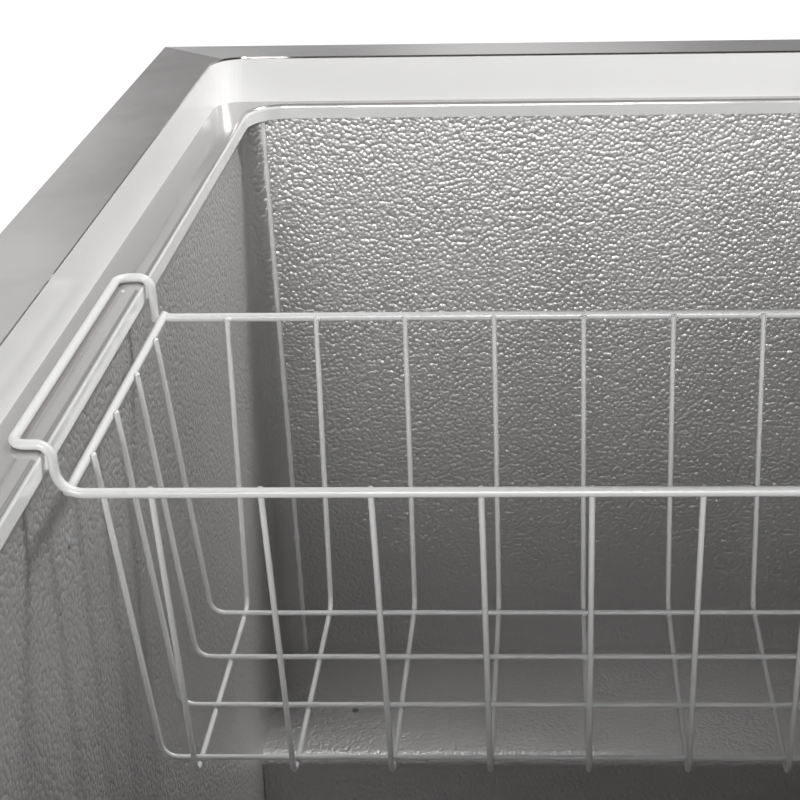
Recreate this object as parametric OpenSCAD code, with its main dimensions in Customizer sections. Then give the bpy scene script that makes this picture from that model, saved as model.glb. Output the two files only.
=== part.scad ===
// Chest freezer: insulated cabinet with a stepped metal tank, a hanging wire basket,
// a compressor under the step and a lid on two sprung hinges, standing open.
// X runs along the length, Y from the front to the back and Z up from the floor.

/* [Cabinet] */
// Length over the steel rim
cab_l = 1095; // [1000:5:1300]
// Depth over the steel rim
cab_d = 650; // [600:5:750]
// Height of the rim above the floor
rim_z = 805; // [760:5:900]
// Thickness of the steel wrap, the back and the bay plates
sheet_t = 1; // [0.8:0.1:1.5]
// Outer radius of the wrap's upright corners
corner_r = 4; // [3:0.5:8]
// Width of the wrap's folded returns at the back
return_w = 26; // [18:1:40]
// Height of the base plate above the floor
base_z = 32; // [28:1:45]

/* [Steel rim] */
// Width of the flat band
rim_band = 50; // [46:1:60]
// Fall of the band from its inner to its outer edge
rim_fall = 3; // [1:0.5:5]
// Thickness of the rim's sheet
rim_t = 1.2; // [0.8:0.1:1.6]
// Height of the skirt that covers the wrap
rim_skirt = 20; // [14:1:24]
// Corner radius of the rim's opening
rim_open_r = 24; // [12:1:40]

/* [Collar and ledge] */
// Depth of the ledge below the rim
throat_drop = 30; // [26:1:38]
// Inward lean of the collar on the long sides
lean_side = 3; // [1:0.5:6]
// Inward lean of the collar on the short sides
lean_end = 18.5; // [10:0.5:22]
// Wall of the white collar
throat_t = 3; // [2:0.5:4]
// Width of the ledge on the long sides
ledge_side = 27; // [25:0.5:32]
// Width of the ledge on the short sides
ledge_end = 8.5; // [6:0.5:14]
// Thickness of the ledge's sheet
ledge_t = 1.5; // [1:0.1:2]
// Height of the ledge's turned-down lip
lip_h = 11; // [8:0.5:14]
// Radius of the lip's fold
lip_r = 3; // [2.5:0.5:3]
// Corner radius of the ledge's inner edge
mouth_r = 28; // [20:1:36]

/* [Tank] */
// Setback of the tank wall behind the lip
tank_back = 9.5; // [7:0.5:12]
// Corner radius of the tank
tank_r = 20; // [12:1:26]
// Thickness of the tank's sheet
liner_t = 1; // [0.6:0.1:1.2]
// Height of the tank floor
floor_z = 90; // [80:1:110]
// Height of the step's top
step_z = 275; // [265:1:300]
// Length of the step
step_l = 155; // [150:1:200]
// Radius of the step's front edge
step_r = 10; // [4:1:16]
// Insulation between the step and the compressor bay
step_wall = 45; // [35:1:50]
// Radius of the small hole plugs
plug_r = 2.8; // [2:0.1:4]

/* [Basket] */
// Gap between the ledge's lip and each end bar
bar_gap = 8; // [8:0.5:20]
// Width between the two rim wires
basket_w = 206; // [160:1:260]
// Height from the rim wire to the bottom wires
basket_h = 176.5; // [120:0.5:220]
// Diameter of the rim wire
rim_wire = 4.8; // [4:0.1:5]
// Diameter of the mesh wire
mesh_wire = 2.9; // [2:0.1:3.5]
// Number of cross wires
cross_n = 9; // [5:1:9]
// Distance from each end bar to the first cross wire
cross_end = 37; // [20:1:60]
// Inward lean of each long side
basket_lean = 24; // [10:1:35]
// Inward lean of each short side
basket_end_lean = 18; // [8:1:25]
// Distance of the outer long wires from the middle
long_outer = 68; // [40:1:70]
// Distance of the inner long wires from the middle
long_inner = 22.7; // [15:0.1:30]
// Height of the hook above the rim wire
hook_rise = 24.8; // [22:0.1:34]
// Reach of the hook beyond the end bar
hook_reach = 22.5; // [20:0.5:24]
// Bend radius between the rim wire and the hook
rim_bend = 12; // [8:0.5:14]
// Bend radius of the hook
hook_bend = 7; // [6.5:0.1:7]
// Bend radius of the mesh wires
mesh_bend = 9; // [5:0.5:12]
// Depth by which welded wires sink into each other
weld = 0.4; // [0.2:0.1:0.6]

/* [Lid] */
// Overhang of the lid past the rim, at each side
lid_over = 3; // [1:0.5:6]
// Thickness of the lid
lid_h = 41; // [34:1:60]
// Corner radius of the lid
lid_r = 14; // [12:1:24]
// Radius of the lid's upper edge
lid_edge = 8; // [4:0.5:10]
// Gap between the rim and the lid
lid_gap = 9; // [8:0.5:14]
// Thickness of the lid's inner panel
panel_t = 2; // [1.5:0.1:3]
// Distance from the rim's opening to the inner panel's bulge
bulge_in = 16; // [14:1:30]
// Depth of the bulge below the rim
bulge_drop = 12; // [6:1:16]
// Lean of the bulge's walls
bulge_lean = 8; // [4:1:14]
// Corner radius of the bulge
bulge_r = 45; // [30:1:60]
// Width of the gasket
gasket_w = 15; // [12:0.5:18]
// Angle of the open lid, where it rests on its stops
lid_open = 88; // [80:1:90]

/* [Hinges] */
// Distance of each hinge from the middle of the cabinet
hinge_x = 380; // [250:5:440]
// Width of a hinge channel
hinge_w = 46; // [42:1:56]
// Depth of a hinge channel
hinge_d = 36; // [36:1:44]
// Length of a hinge channel below the rim
hinge_drop = 150; // [130:1:200]
// Thickness of the hinge plates
hinge_t = 2; // [1.6:0.1:2.4]
// Distance of the pin from the cabinet's back
pin_y = 20; // [19.5:0.5:20.5]
// Height of the pin above the rim
pin_z = 6; // [5:0.5:8]
// Radius of the pin
pin_r = 4; // [3:0.1:4.5]
// Smallest radius of the lift cam
cam_r = 9; // [8.5:0.1:9.5]
// Travel of the plunger for each radian of the lid
cam_rate = 4; // [3:0.1:4.2]
// Radius of the plunger's head
plunger_r = 11; // [9:0.5:13]
// Length of the lift spring at rest
spring_h = 72; // [50:1:80]
// Wire radius of the lift spring
spring_wire = 1.4; // [1:0.1:1.8]

/* [Handle and lock] */
// Length of the handle
handle_l = 250; // [200:5:400]
// Depth of the handle
handle_d = 26; // [22:1:34]
// Drop of the handle below the rim
handle_drop = 46; // [40:1:60]
// Radius of the lock barrel
lock_r = 8; // [6:0.5:9]
// Depth of the lock's axis below the rim
lock_drop = 8; // [7:0.5:10]
// Length of the lock's tongue
tongue_l = 24; // [20:1:26]

/* [Controls and drain] */
// Width of the control panel
panel_w = 120; // [110:1:140]
// Height of the control panel
panel_h = 104; // [90:1:120]
// Height of the control panel's middle
panel_z = 138; // [130:1:150]
// Radius of the thermostat knob
knob_r = 17; // [12:0.5:20]
// Distance of the drain from the tank's end
drain_end = 150; // [60:5:280]
// Distance of the drain from the tank's front wall
drain_front = 64.5; // [50:0.5:120]
// Outer radius of the drain pipe
drain_r = 11; // [9:0.5:13]
// Height of the drain outlet
drain_z = 62; // [56:1:66]

/* [Cooling circuit] */
// Outer radius of the evaporator and condenser tubes
tube_r = 4; // [3:0.5:4.5]
// Turns of the evaporator round the tank
evap_turns = 6; // [3:1:6]
// Distance between the evaporator's turns
evap_pitch = 70; // [50:1:74]
// Runs of the condenser inside the wrap
cond_runs = 6; // [2:2:6]
// Distance between the condenser's runs
cond_pitch = 85; // [50:1:88]
// Radius of the compressor's can
comp_r = 70; // [60:1:74]
// Height of the compressor's can
comp_h = 146; // [120:1:150]

/* [Hidden] */
$fn = 48;

// Clearances
slip = 0.3;     // between pieces that move past or rest on each other
run = 0.05;     // radial, round pins
fit = 0.1;      // between nested sheets

// Cabinet
shell_l = cab_l - 2 * (rim_t + fit);
shell_d = cab_d - 2 * (rim_t + fit);
shell_top = rim_z - rim_fall - rim_t - 1;
shell_low = base_z - 8;
in_l = shell_l - 2 * sheet_t;
front_in = -(shell_d / 2 - sheet_t);
back_out = shell_d / 2 - sheet_t;       // outer face of the back panel
back_in = back_out - sheet_t;           // inner face of the back panel
in_d = back_in - front_in;
in_y = (back_in + front_in) / 2;
base_t = 1.2;
pan_top = base_z + base_t;
rail_w = 44;
rail_h = 16;
rail_t = 2;
rail_y = cab_d / 2 - 70;
foot_x = cab_l / 2 - 80;

// Rim, collar, ledge and tank, each set inside the last
open_l = cab_l - 2 * rim_band;
open_d = cab_d - 2 * rim_band;
ledge_z = rim_z - throat_drop;
collar_l = open_l - 2 * lean_end;
collar_d = open_d - 2 * lean_side;
collar_r = 20;
mouth_l = collar_l - 2 * ledge_end;
mouth_d = collar_d - 2 * ledge_side;
tuck = 6;       // width of the ledge's sheet behind the collar's face
tank_l = mouth_l + 2 * tank_back;
tank_d = mouth_d + 2 * tank_back;
liner_top = ledge_z - ledge_t;
flange_w = 8;
step_x = step_l - tank_l / 2;
drain_x = tank_l / 2 - drain_end;
drain_y = drain_front - tank_d / 2;

// Compressor bay under the step
bay_x = step_x - liner_t - step_wall;
bay_z = step_z - liner_t - step_wall;
bay_mid = (bay_x - in_l / 2) / 2;

// Lid, drawn closed and then turned open about the pins
lid_l = cab_l + 2 * lid_over;
lid_d = cab_d + 2 * lid_over;
lid_z = rim_z + lid_gap;
bulge_l = open_l - 2 * bulge_in;
bulge_d = open_d - 2 * bulge_in;
bulge_h = lid_gap + bulge_drop;
hinge_y = back_out + pin_y;
hinge_z = rim_z + pin_z;

// The whole model is moved so that its box is centred over the origin
cap_out = 13;
y_front = -shell_d / 2 - cap_out;
y_back = hinge_y + (lid_gap + lid_h - pin_z) * sin(lid_open);
y_shift = -(y_front + y_back) / 2;

// Basket, drawn about the middle of its rim wires
wire_r = rim_wire / 2;
mesh_r = mesh_wire / 2;
basket_z = ledge_z + slip + wire_r - hook_rise;
bar_y = mouth_d / 2 - bar_gap;
cross_pitch = 2 * (bar_y - cross_end) / (cross_n - 1);
riser_y = bar_y + rim_wire - weld;
hook_y = bar_y + hook_reach;

// ---------- shared shapes ----------

module in_frame() { translate([0, y_shift, 0]) children(); }

module on_lid() {
    translate([0, y_shift + hinge_y, hinge_z]) rotate([-lid_open, 0, 0])
        translate([0, -hinge_y, -hinge_z]) children();
}

module in_basket() { translate([0, y_shift, basket_z]) children(); }

module rounded(l, d, r) {
    square([l - 2 * r, d], center = true);
    square([l, d - 2 * r], center = true);
    for (x = [-1, 1], y = [-1, 1]) translate([x * (l / 2 - r), y * (d / 2 - r)]) circle(r);
}

module slab(l, d, r, z, h) { translate([0, 0, z]) linear_extrude(h) rounded(l, d, r); }

// Sweeps a profile round a rectangle with round corners; the profile's x points outward
module sweep_ring(l, d, r) {
    for (k = [0 : 3]) {
        sx = (k == 0 || k == 3) ? 1 : -1;
        sy = k < 2 ? 1 : -1;
        translate([sx * (l / 2 - r), sy * (d / 2 - r), 0]) rotate([0, 0, 90 * k])
            rotate_extrude(angle = 90) translate([r, 0]) children();
        side = k % 2 == 0 ? [l / 2, d - 2 * r] : [d / 2, l - 2 * r];
        rotate([0, 0, 90 * k]) translate([side[0], side[1] / 2, 0]) rotate([90, 0, 0])
            linear_extrude(side[1]) children();
    }
}

// The same round a rectangle with mitred corners; w is the profile's reach inward
module mitred_ring(l, d, w) {
    for (k = [0 : 3]) {
        half = k % 2 == 0 ? l / 2 : d / 2;
        run_l = k % 2 == 0 ? d : l;
        rotate([0, 0, 90 * k]) intersection() {
            translate([half, run_l / 2, 0]) rotate([90, 0, 0]) linear_extrude(run_l) children();
            translate([0, 0, -rim_z]) linear_extrude(2 * rim_z)
                polygon([[half - w, w - run_l / 2], [half + 1, -1 - run_l / 2],
                    [half + 1, run_l / 2 + 1], [half - w, run_l / 2 - w]]);
        }
    }
}

function unit(v) = v / norm(v);
function turn_at(p, i) = acos(max(-1, min(1, unit(p[i] - p[i - 1]) * unit(p[i + 1] - p[i]))));
function bend_at(b, i) = is_list(b) ? b[i] : b;
function trim_at(p, b, i) =
    (i == 0 || i == len(p) - 1) ? 0 : bend_at(b, i) * tan(turn_at(p, i) / 2);

module axes_at(o, x, y, z) {
    multmatrix([[x[0], y[0], z[0], o[0]], [x[1], y[1], z[1], o[1]], [x[2], y[2], z[2], o[2]],
        [0, 0, 0, 1]]) children();
}

module rod(a, b, r) {
    z = unit(b - a);
    x = unit(cross(abs(z[2]) < 0.9 ? [0, 0, 1] : [1, 0, 0], z));
    axes_at(a, x, cross(z, x), z) cylinder(r = r, h = norm(b - a));
}

// Round wire or tube along points, with a round bend at each inner point
module wire(p, r, bend) {
    for (i = [0 : len(p) - 2]) {
        d = unit(p[i + 1] - p[i]);
        rod(p[i] + d * trim_at(p, bend, i), p[i + 1] - d * trim_at(p, bend, i + 1), r);
    }
    for (i = [1 : len(p) - 2]) {
        a = turn_at(p, i);
        d = unit(p[i] - p[i - 1]);
        q = bend_at(bend, i);
        middle = p[i] + unit(unit(p[i + 1] - p[i]) - d) * q / cos(a / 2);
        x = unit(p[i] - d * trim_at(p, bend, i) - middle);
        axes_at(middle, x, d, cross(x, d)) rotate_extrude(angle = a) translate([q, 0]) circle(r);
    }
}

module hole_y(x, z, r, y0, y1) {
    translate([x, y0, z]) rotate([-90, 0, 0]) cylinder(r = r, h = y1 - y0);
}

// ---------- cabinet ----------

grille_l = 300;
grille_h = 140;
grille_y = 60;
grille_z = 132;

module grille_window(gap, x0, x1) {
    translate([x0, grille_y - grille_l / 2 - gap, grille_z - grille_h / 2 - gap])
        cube([x1 - x0, grille_l + 2 * gap, grille_h + 2 * gap]);
}

module outer_shell() {
    color("lightgray") in_frame() difference() {
        slab(shell_l, shell_d, corner_r, shell_low, shell_top - shell_low);
        slab(in_l, shell_d - 2 * sheet_t, corner_r - sheet_t, shell_low - 1,
            shell_top - shell_low + 2);
        translate([return_w - shell_l / 2, back_out - 1, shell_low - 1])
            cube([shell_l - 2 * return_w, 2 * sheet_t + 2, shell_top]);
        grille_window(slip, -cab_l / 2 - 1, -in_l / 2 + 1);
        translate([bay_mid - tub_w / 2 - slip, -cab_d / 2, panel_z - tub_h / 2 - slip])
            cube([tub_w + 2 * slip, 10, tub_h + 2 * slip]);
        hole_y(drain_x, drain_z, drain_r + slip, -cab_d / 2, front_in + 1);
    }
}

vent_n = 9;
vent_pitch = 15;
gland_x = bay_x - 40;
gland_z = 90;

module back_panel() {
    color("silver") in_frame() difference() {
        translate([corner_r - in_l / 2, back_in, base_z - 6])
            cube([in_l - 2 * corner_r, sheet_t, shell_top - base_z + 6]);
        for (k = [0 : vent_n - 1], z = [120, 180])
            translate([-in_l / 2 + 24 + k * vent_pitch, back_in - 1, z - 22])
                cube([5, sheet_t + 2, 44]);
        hole_y(gland_x, gland_z, gland_r, back_in - 1, back_out + 1);
        at_hinges() at_hinge_screws() rotate([-90, 0, 0]) cylinder(r = screw_r, h = 12, center = true);
    }
}

module base_plate() {
    color("gray") in_frame() difference() {
        translate([0, in_y, 0]) union() {
            slab(in_l - 2 * fit, in_d - 2 * fit, corner_r, base_z, base_t);
            translate([0, 0, base_z - 6]) linear_extrude(6) difference() {
                rounded(in_l - 2 * fit, in_d - 2 * fit, corner_r);
                rounded(in_l - 2 * fit - 2 * base_t, in_d - 2 * fit - 2 * base_t, corner_r - base_t);
            }
        }
        at_comp_feet() translate([0, 0, base_z - 1]) cylinder(r = comp_bolt_r + slip, h = base_t + 2);
        for (k = [0 : 4]) translate([bay_mid - 50, 105 - cab_d / 2 + k * 22, base_z - 1])
            cube([100, 6, base_t + 2]);
    }
}

module base_rails() {
    color("dimgray") in_frame() for (s = [-1, 1]) difference() {
        translate([20 - cab_l / 2, s * rail_y - rail_w / 2, base_z - rail_h])
            cube([cab_l - 40, rail_w, rail_h]);
        translate([19 - cab_l / 2, s * rail_y - rail_w / 2 + rail_t, base_z - rail_h + rail_t])
            cube([cab_l - 38, rail_w - 2 * rail_t, rail_h]);
        for (x = [-foot_x, foot_x]) translate([x, s * rail_y, base_z - rail_h - 1])
            cylinder(r = 4 + slip, h = rail_t + 2);
    }
}

module feet() {
    color("black") in_frame() for (x = [-foot_x, foot_x], y = [-rail_y, rail_y])
        translate([x, y, 0]) rotate_extrude() polygon([[0, 0], [17, 0], [19, 2], [19, 7], [17, 9],
            [11, 10], [11, base_z - rail_h], [4, base_z - rail_h], [4, base_z - 5], [0, base_z - 5]]);
}

module rim_frame() {
    reach = rim_band + rim_open_r / 2;
    rise = rim_fall / rim_band;
    edge = 0.8;
    color("gainsboro") in_frame() difference() {
        translate([0, 0, rim_z]) mitred_ring(cab_l, cab_d, reach)
            polygon([[0, -rim_skirt], [0, -rim_fall - edge], [-edge, -rim_fall],
                [-reach, rise * reach - rim_fall], [-reach, rise * reach - rim_fall - rim_t],
                [-rim_t, -rim_fall - rim_t], [-rim_t, -rim_skirt]]);
        slab(open_l, open_d, rim_open_r, rim_z - throat_drop, 2 * throat_drop);
    }
}

// Rounded block between two heights that follows the collar's leaning walls, g thicker
module collar_block(z0, z1, g) {
    hull() for (z = [z0, z1]) {
        s = (z - ledge_z) / throat_drop;
        slab(collar_l + 2 * (s * lean_end + g), collar_d + 2 * (s * lean_side + g),
            collar_r + s * (rim_open_r - collar_r) + g, z == z1 ? z - 0.01 : z, 0.01);
    }
}

throat_top = rim_z - rim_t - fit - throat_t * rim_fall / rim_band;

module throat_frame() {
    color("white") in_frame() difference() {
        collar_block(ledge_z, throat_top, throat_t);
        collar_block(ledge_z - 1, rim_z + 1, 0);
    }
}

module ledge_frame() {
    plate_l = collar_l + 2 * tuck;
    plate_d = collar_d + 2 * tuck;
    color("silver") in_frame() translate([0, 0, ledge_z]) {
        sweep_ring(mouth_l, mouth_d, mouth_r) {
            translate([0, -lip_h]) square([ledge_t, lip_h - lip_r]);
            intersection() {
                translate([lip_r, -lip_r]) difference() {
                    circle(lip_r);
                    circle(lip_r - ledge_t);
                }
                translate([0, -lip_r]) square(lip_r);
            }
        }
        translate([0, 0, -ledge_t]) linear_extrude(ledge_t) difference() {
            rounded(plate_l, plate_d, collar_r + tuck);
            rounded(mouth_l + 2 * lip_r, mouth_d + 2 * lip_r, mouth_r + lip_r);
        }
    }
}

// Space inside the tank, grown by g on every side below the given top
module tank_space(g, top) {
    r = step_r - g;
    difference() {
        slab(tank_l + 2 * g, tank_d + 2 * g, tank_r + g, floor_z - g, top - floor_z + g);
        translate([0, tank_d, 0]) rotate([90, 0, 0]) linear_extrude(2 * tank_d) {
            translate([-tank_l, 0]) square([tank_l + step_x - g - r, step_z - g]);
            translate([-tank_l, 0]) square([tank_l + step_x - g, step_z - g - r]);
            translate([step_x - g - r, step_z - g - r]) circle(r);
        }
    }
}

module liner() {
    color("darkgray") in_frame() difference() {
        union() {
            tank_space(liner_t, liner_top);
            slab(tank_l + 2 * flange_w, tank_d + 2 * flange_w, tank_r + flange_w,
                liner_top - liner_t, liner_t);
        }
        tank_space(0, liner_top + 1);
        translate([drain_x, drain_y, floor_z - 5]) cylinder(r = drain_r - 2, h = 10);
        at_plugs() cylinder(r = plug_r / 2 + run, h = 10, center = true);
    }
}

// Plugs in two spare holes, in the front wall and the step's top; Z points into the tank
module at_plugs() {
    translate([59, -tank_d / 2, ledge_z - 74]) rotate([-90, 0, 0]) children();
    translate([step_x - 64, 69.5 - tank_d / 2, step_z]) children();
}

module liner_plugs() {
    color("dimgray") in_frame() at_plugs() rotate_extrude() polygon([[0, -liner_t],
        [plug_r / 2, -liner_t], [plug_r / 2, 0], [plug_r, 0], [plug_r, 0.4], [plug_r * 0.7, 0.9],
        [0, 1.1]]);
}

module bay_plate() {
    color("darkgray") in_frame() difference() {
        intersection() {
            translate([0, in_y, 0]) slab(in_l, in_d, corner_r - sheet_t, pan_top, bay_z - pan_top);
            translate([-cab_l, -cab_d, 0]) cube([cab_l + bay_x, 2 * cab_d, bay_z]);
        }
        translate([-in_l / 2 - 1, front_in - 1, pan_top - 1])
            cube([bay_x + in_l / 2 + 1 - sheet_t, in_d + 2, bay_z - pan_top + 1 - sheet_t]);
        for (p = [[in_x, evap_y], [jog_x, down_y]])
            translate([p[0], p[1], bay_z - 5]) cylinder(r = tube_r + slip, h = 10);
        translate([-in_l / 2 - 1, cond_back - 6, bay_z - 5])
            cube([cond_return + tube_r + 7, 12, 10]);
    }
}

// Foam that fills the cabinet, with channels for the tubes, the drain and the screws
module cabinet_foam() {
    color("khaki") in_frame() difference() {
        translate([0, in_y, 0]) slab(in_l, in_d, corner_r - sheet_t, pan_top, shell_top - pan_top);
        tank_space(liner_t, shell_top);
        slab(collar_l + 2 * tuck, collar_d + 2 * tuck, collar_r + tuck,
            liner_top - liner_t, throat_drop);
        slab(tank_l + 2 * flange_w, tank_d + 2 * flange_w, tank_r + flange_w,
            liner_top - liner_t, liner_t);
        collar_block(ledge_z - 1, shell_top + 1, throat_t);
        translate([-cab_l, -cab_d, 0]) cube([cab_l + bay_x, 2 * cab_d, bay_z]);
        evap_channels();
        cond_channels();
        drain_route(drain_r);
        at_hinges() at_hinge_screws() rotate([90, 0, 0]) cylinder(r = screw_r, h = 20);
    }
}

// ---------- cooling circuit ----------

coil_gap = 0.2;
tube_room = 1.5;    // play round a tube in its foam channel
evap_r = tank_r + liner_t + coil_gap + tube_r;
evap_x = tank_l / 2 + liner_t + coil_gap + tube_r;
evap_y = tank_d / 2 + liner_t + coil_gap + tube_r;
evap_z = step_z + 45;
evap_top = evap_z + (evap_turns - 1) * evap_pitch;
in_x = bay_x - 20;
jog_x = in_x - 40;
jog_bend = 10;
down_bend = 6;
down_y = evap_y + 2 * down_bend + 2;
stub_z = bay_z - 30;    // where the coils end, inside the bay

// It enters from the bay, winds up round the tank and drops behind itself to the bay
module evaporator_coil() {
    turns = [for (k = [0 : evap_turns - 1], c = [0 : 5]) [
        c < 2 ? evap_x : (c < 4 ? -evap_x : jog_x),
        (c == 1 || c == 2) ? -evap_y : evap_y,
        evap_z + evap_pitch * min(evap_turns - 1, k + (c == 5 ? 1 : 0))]];
    body = [for (i = [0 : len(turns) - 2]) turns[i]];
    bends = [for (i = [0 : len(turns) - 3]) i % 6 < 4 ? evap_r : jog_bend];
    color("peru") in_frame() wire(
        concat([[in_x, evap_y, stub_z], [in_x, evap_y, evap_z]], body,
            [[jog_x, down_y, evap_top], [jog_x, down_y, stub_z]]),
        tube_r, concat([0, jog_bend], bends, [down_bend, down_bend, 0]));
}

module evap_channels() {
    cut = 2 * tube_r + tube_room;
    slot = jog_bend + tube_r + tube_room;
    for (k = [0 : evap_turns - 1])
        slab(2 * evap_x + cut, 2 * evap_y + cut, evap_r + cut / 2,
            evap_z + k * evap_pitch - cut / 2, cut);
    translate([in_x - cut / 2, tank_d / 2, bay_z - 1])
        cube([slot + cut / 2, evap_y - tank_d / 2 + cut / 2, evap_z - bay_z + 1]);
    translate([jog_x - slot, tank_d / 2, evap_z - cut / 2])
        cube([2 * slot, evap_y - tank_d / 2 + cut, evap_top - evap_z + cut]);
    translate([jog_x - cut / 2, tank_d / 2 + liner_t, bay_z - 1])
        cube([cut, down_y - tank_d / 2 - liner_t + cut / 2, evap_top - bay_z + cut / 2 + 1]);
}

cond_x = in_l / 2 - coil_gap - tube_r;
cond_front = front_in + coil_gap + tube_r;
cond_back = back_in - 40;
cond_z = bay_z + 40;
cond_top = cond_z + (cond_runs - 1) * cond_pitch;
cond_bend = 15;
cond_corner = 20;
cond_return = 18;   // distance of the returning leg from the outer leg

// Serpentine behind the wrap: up from the bay, round three sides and back for each run
module condenser_coil() {
    runs = [for (j = [0 : cond_runs - 1], c = [0 : 3]) [
        (c < 2 ? -1 : 1) * (j % 2 == 0 ? 1 : -1) * cond_x,
        (c == 0 || c == 3) ? cond_back : cond_front,
        cond_z + j * cond_pitch]];
    bends = [for (i = [0 : len(runs) - 2]) (i % 4 == 0 || i % 4 == 3) ? cond_bend : cond_corner];
    color("peru") in_frame() wire(
        concat([[-cond_x, cond_back, stub_z]], runs,
            [[cond_return - cond_x, cond_back, cond_top],
                [cond_return - cond_x, cond_back, stub_z]]),
        tube_r, concat([0], bends, [down_bend, down_bend, 0]));
}

module cond_channels() {
    cut = tube_r + tube_room / 2;
    for (j = [0 : cond_runs - 1])
        translate([0, 0, cond_z + j * cond_pitch - cut]) linear_extrude(2 * cut) difference() {
            translate([-cab_l / 2, -cab_d / 2]) square([cab_l, cab_d / 2 + cond_back + cut]);
            translate([0, cond_front + cut + cab_d])
                rounded(2 * (cond_x - cut), 2 * cab_d, cond_corner - cut);
        }
    for (s = [-1, 1])
        translate([s * cab_l / 2 - (s > 0 ? cab_l / 2 - cond_x + cut : 0),
            cond_back - cond_bend - cut, cond_z - cond_bend - cut])
            cube([cab_l / 2 - cond_x + cut, cond_bend + 2 * cut,
                cond_top - cond_z + cond_bend + 2 * cut]);
    translate([-cab_l / 2, cond_back - cut, bay_z - 1])
        cube([cab_l / 2 - cond_x + cond_return + cut, 2 * cut, cond_top - bay_z + cut + 1]);
}

comp_y = 60;
comp_z = pan_top + 18;
comp_foot_x = 48;
comp_foot_y = comp_r + 14;
comp_bolt_r = 4;
comp_plate_t = 3;
comp_plate_z = comp_z - 5;
seam_z = comp_z + 0.58 * comp_h;
suction_z = comp_z + 70;
discharge_z = comp_z + 98;
discharge_x = -(jog_x - bay_mid) + bay_mid;
stub_y = comp_y + comp_r + 8;

module at_comp_feet() {
    for (x = [-1, 1], y = [-1, 1])
        translate([bay_mid + x * comp_foot_x, comp_y + y * comp_foot_y, 0]) children();
}

module compressor() {
    bowl_r = 26;
    dome_r = 34;
    top_r = comp_r - 2;
    top_z = comp_z + comp_h;
    color("black") in_frame() difference() {
        union() {
            translate([bay_mid, comp_y, 0]) {
                rotate_extrude() {
                    translate([0, comp_z]) square([comp_r - bowl_r, bowl_r]);
                    translate([0, comp_z + bowl_r]) square([comp_r, seam_z - comp_z - bowl_r]);
                    translate([0, seam_z]) square([comp_r + 3.5, 6]);
                    translate([0, seam_z + 6]) square([top_r, top_z - dome_r - seam_z - 6]);
                    translate([0, top_z - dome_r]) square([top_r - dome_r, dome_r]);
                    for (e = [[comp_r - bowl_r, comp_z + bowl_r, bowl_r],
                            [top_r - dome_r, top_z - dome_r, dome_r]])
                        translate([e[0], e[1]]) intersection() {
                            circle(e[2]);
                            translate([0, -e[2]]) square([e[2], 2 * e[2]]);
                        }
                }
                slab(2 * comp_foot_x + 26, 2 * comp_foot_y + 26, 10, comp_plate_z, comp_plate_t);
                slab(1.2 * comp_r, 1.2 * comp_r, 10, comp_plate_z + comp_plate_t,
                    bowl_r - comp_plate_t);
            }
            hole_y(jog_x, suction_z, tube_r, comp_y, stub_y);
            hole_y(discharge_x, discharge_z, tube_r, comp_y, stub_y);
        }
        at_comp_feet() translate([0, 0, comp_plate_z - 1])
            cylinder(r = comp_bolt_r + 4, h = comp_plate_t + 2);
    }
}

module compressor_grommets() {
    waist = comp_bolt_r + 4 - slip;
    z1 = comp_plate_z - slip;
    z2 = comp_plate_z + comp_plate_t + slip;
    color("dimgray") in_frame() at_comp_feet() rotate_extrude() polygon([
        [comp_bolt_r + slip, pan_top], [11, pan_top], [11, z1], [waist, z1], [waist, z2],
        [10, z2], [10, z2 + 5], [comp_bolt_r + slip, z2 + 5]]);
}

module compressor_bolts() {
    top = comp_plate_z + comp_plate_t + slip + 5;
    color("silver") in_frame() at_comp_feet() {
        translate([0, 0, base_z - 8]) cylinder(r = comp_bolt_r, h = top - base_z + 9);
        translate([0, 0, top]) cylinder(r = 9, h = 1.5);
        translate([0, 0, top + 1.5]) cylinder(r = 6.5, h = 5, $fn = 6);
        translate([0, 0, base_z - 7]) cylinder(r = 6.5, h = 6.8, $fn = 6);
    }
}

module relay_cover() {
    color("whitesmoke") in_frame() difference() {
        translate([bay_mid, comp_y - comp_r - 4, 0]) {
            slab(52, 46, 6, comp_z + 30, 50);
            slab(44, 38, 6, comp_z + 80, 4);
        }
        translate([bay_mid, comp_y, 0]) cylinder(r = comp_r + coil_gap, h = 2 * rim_z);
    }
}

module suction_pipe() {
    color("peru") in_frame() wire([[jog_x, down_y, stub_z], [jog_x, down_y, suction_z],
        [jog_x, stub_y, suction_z]], tube_r, 14);
}

module discharge_pipe() {
    y = cond_back - 42;
    color("peru") in_frame() wire([[discharge_x, stub_y, discharge_z],
        [discharge_x, y, discharge_z], [-cond_x, y, discharge_z],
        [-cond_x, cond_back, discharge_z], [-cond_x, cond_back, stub_z]], tube_r, 12);
}

drier_x = cond_return - cond_x;
drier_low = stub_z - 104;
cap_tube_r = 1.2;

module filter_drier() {
    color("peru") in_frame() translate([drier_x, cond_back, drier_low]) rotate_extrude()
        polygon([[0, 0], [2.4, 0], [2.4, 6], [9, 18], [9, 88], [tube_r, 98], [tube_r, 104],
            [0, 104]]);
}

module capillary_tube() {
    y = cond_back - 80;
    z = pan_top + 30;
    color("peru") in_frame() wire([[drier_x, cond_back, drier_low], [drier_x, cond_back, z],
        [drier_x, y, z], [in_x, y, z], [in_x, evap_y, z], [in_x, evap_y, stub_z]],
        cap_tube_r, 10);
}

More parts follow.
